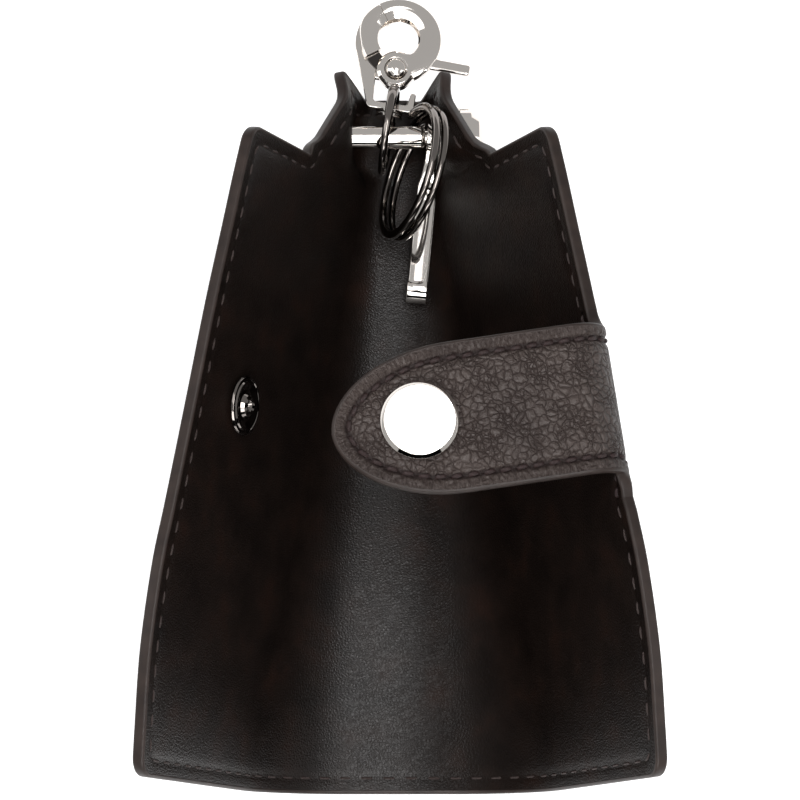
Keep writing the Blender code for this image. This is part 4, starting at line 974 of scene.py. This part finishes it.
strip("key_hook_leaf", leafRoute, leafWidth, keyHook["leaf"], "chrome", "hook_gate", "hook_gate")
foot = hookAt(0.0, *(pivot - leafOff * keyHook["thick"] / 2))
head = hookAt(0.0, *(leafPivot + leafOff * (keyHook["leaf"] / 2 + 0.02)))
top = np.linalg.norm(head - foot) / mm
hookRivetLine = [(0.02, -0.1), (0.6, -0.1), (0.6, top), (1.15, top), (0.9, top + 0.42), (0.02, top + 0.6)]
turned("key_hook_rivet", hookRivetLine, 0.12, foot, head - foot, chrome, "chrome", "key_hook", "hook_rivet", steps=48)

for name in ("snap_spring", "clasp_spring"):
    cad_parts[name].data.materials.clear()
    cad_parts[name].data.materials.append(springSteel)
print("hardware made")


# stage, lights and camera

studio = {
    "elevation": 79, "distance": 0.532, "lens": 135, "glow": 0.75, "spread": 0.09, "mirrored": 0.46, "floor": 1.5,
}
softBoxes = {
    "key": {"size": (0.09, 0.44), "place": (0.058, -0.10, 0.60), "aim": (0.058, -0.10, 0), "watts": 1.7},
    "top": {"size": (0.10, 0.16), "place": (0.002, 0.09, 0.60), "aim": (0.002, 0.09, 0), "watts": 0.09},
    "glint": {"size": (0.14, 0.05), "place": (-0.045, 0.03, 0.14), "aim": (0, 0.063, 0.01), "watts": 0.035},
    "front": {"size": (0.34, 0.34), "place": (0, -0.47, 0.42), "aim": (0, 0.03, 0), "watts": 2.0},
    "left": {"size": (0.25, 0.5), "place": (-0.55, 0.05, 0.35), "aim": (0, 0, 0.03), "watts": 0.7},
    "right": {"size": (0.25, 0.5), "place": (0.55, -0.1, 0.40), "aim": (0, 0, 0.03), "watts": 0.6},
}


def softBox(name, spec):
    light = bpy.data.lights.new(name, "AREA")
    light.shape = "RECTANGLE"
    light.size, light.size_y = spec["size"]
    light.energy = spec["watts"]
    made = bpy.data.objects.new(name, light)
    bpy.context.scene.collection.objects.link(made)
    made.location = spec["place"]
    made.rotation_euler = (Vector(spec["aim"]) - Vector(spec["place"])).to_track_quat("-Z", "Y").to_euler()
    made.visible_camera = False


for name, spec in softBoxes.items():
    softBox(name + "_softbox", spec)

# the paper glows in the camera and in mirrors alone, and lights nothing
floorMaterial, tree, shader = newMaterial("white_seamless_paper")
feed(tree, shader, {"Base Color": linear("#e9e9e9"), "Roughness": 0.9})
shown = arith(tree, "MAXIMUM", rayIs(tree, "Camera"), rayIs(tree, "Glossy"))
glow = node(tree, "Emission", {"Color": (1, 1, 1, 1), "Strength": studio["glow"]})
glowing = node(tree, "AddShader", {0: shader.outputs[0], 1: glow})
feed(tree, tree.nodes["Material Output"],
     {"Surface": node(tree, "MixShader", {0: shown, 1: shader.outputs[0], 2: glowing})})
floor = build("floor", np.array([(-1, -1, 0), (1, -1, 0), (1, 1, 0), (-1, 1, 0)]) * studio["floor"] - [0, 0, 1e-5],
              [[0, 1, 2, 3]], floorMaterial)

# a dark card low in front, seen by reflections alone: it draws the dark lines in the polished metal
cardMaterial, tree, shader = newMaterial("black_felt")
feed(tree, shader, {"Base Color": linear("#0a0a0a"), "Roughness": 1.0, "Specular IOR Level": 0.0})
card = build("dark_card", [(-0.6, -0.72, 0.0), (0.6, -0.72, 0.0), (0.6, -0.72, 0.33), (-0.6, -0.72, 0.33)],
             [[0, 1, 2, 3]], cardMaterial)
card.visible_camera = card.visible_diffuse = card.visible_shadow = False

world = bpy.data.worlds.new("studio")
bpy.context.scene.world = world
world.use_nodes = True
tree = world.node_tree
mirrored = mapRange(tree, rayIs(tree, "Glossy"), 0.0, 1.0, studio["spread"], studio["mirrored"])
level = node(tree, "Mix", {"data_type": "FLOAT", 0: rayIs(tree, "Camera"), 2: mirrored, 3: 1.0})
feed(tree, tree.nodes["Background"], {"Color": (1, 1, 1, 1), "Strength": level})

camera = bpy.data.objects.new("camera", bpy.data.cameras.new("camera"))
bpy.context.scene.collection.objects.link(camera)
camera.data.lens = studio["lens"]
camera.data.sensor_width = 36
tilt = math.radians(studio["elevation"])
camera.location = (0, -studio["distance"] * math.cos(tilt), studio["distance"] * math.sin(tilt))
camera.rotation_euler = (math.pi / 2 - tilt, 0, 0)
camera.data.clip_start = 0.01
bpy.context.scene.camera = camera
bpy.context.scene.view_settings.view_transform = "Standard"
print("studio ready")
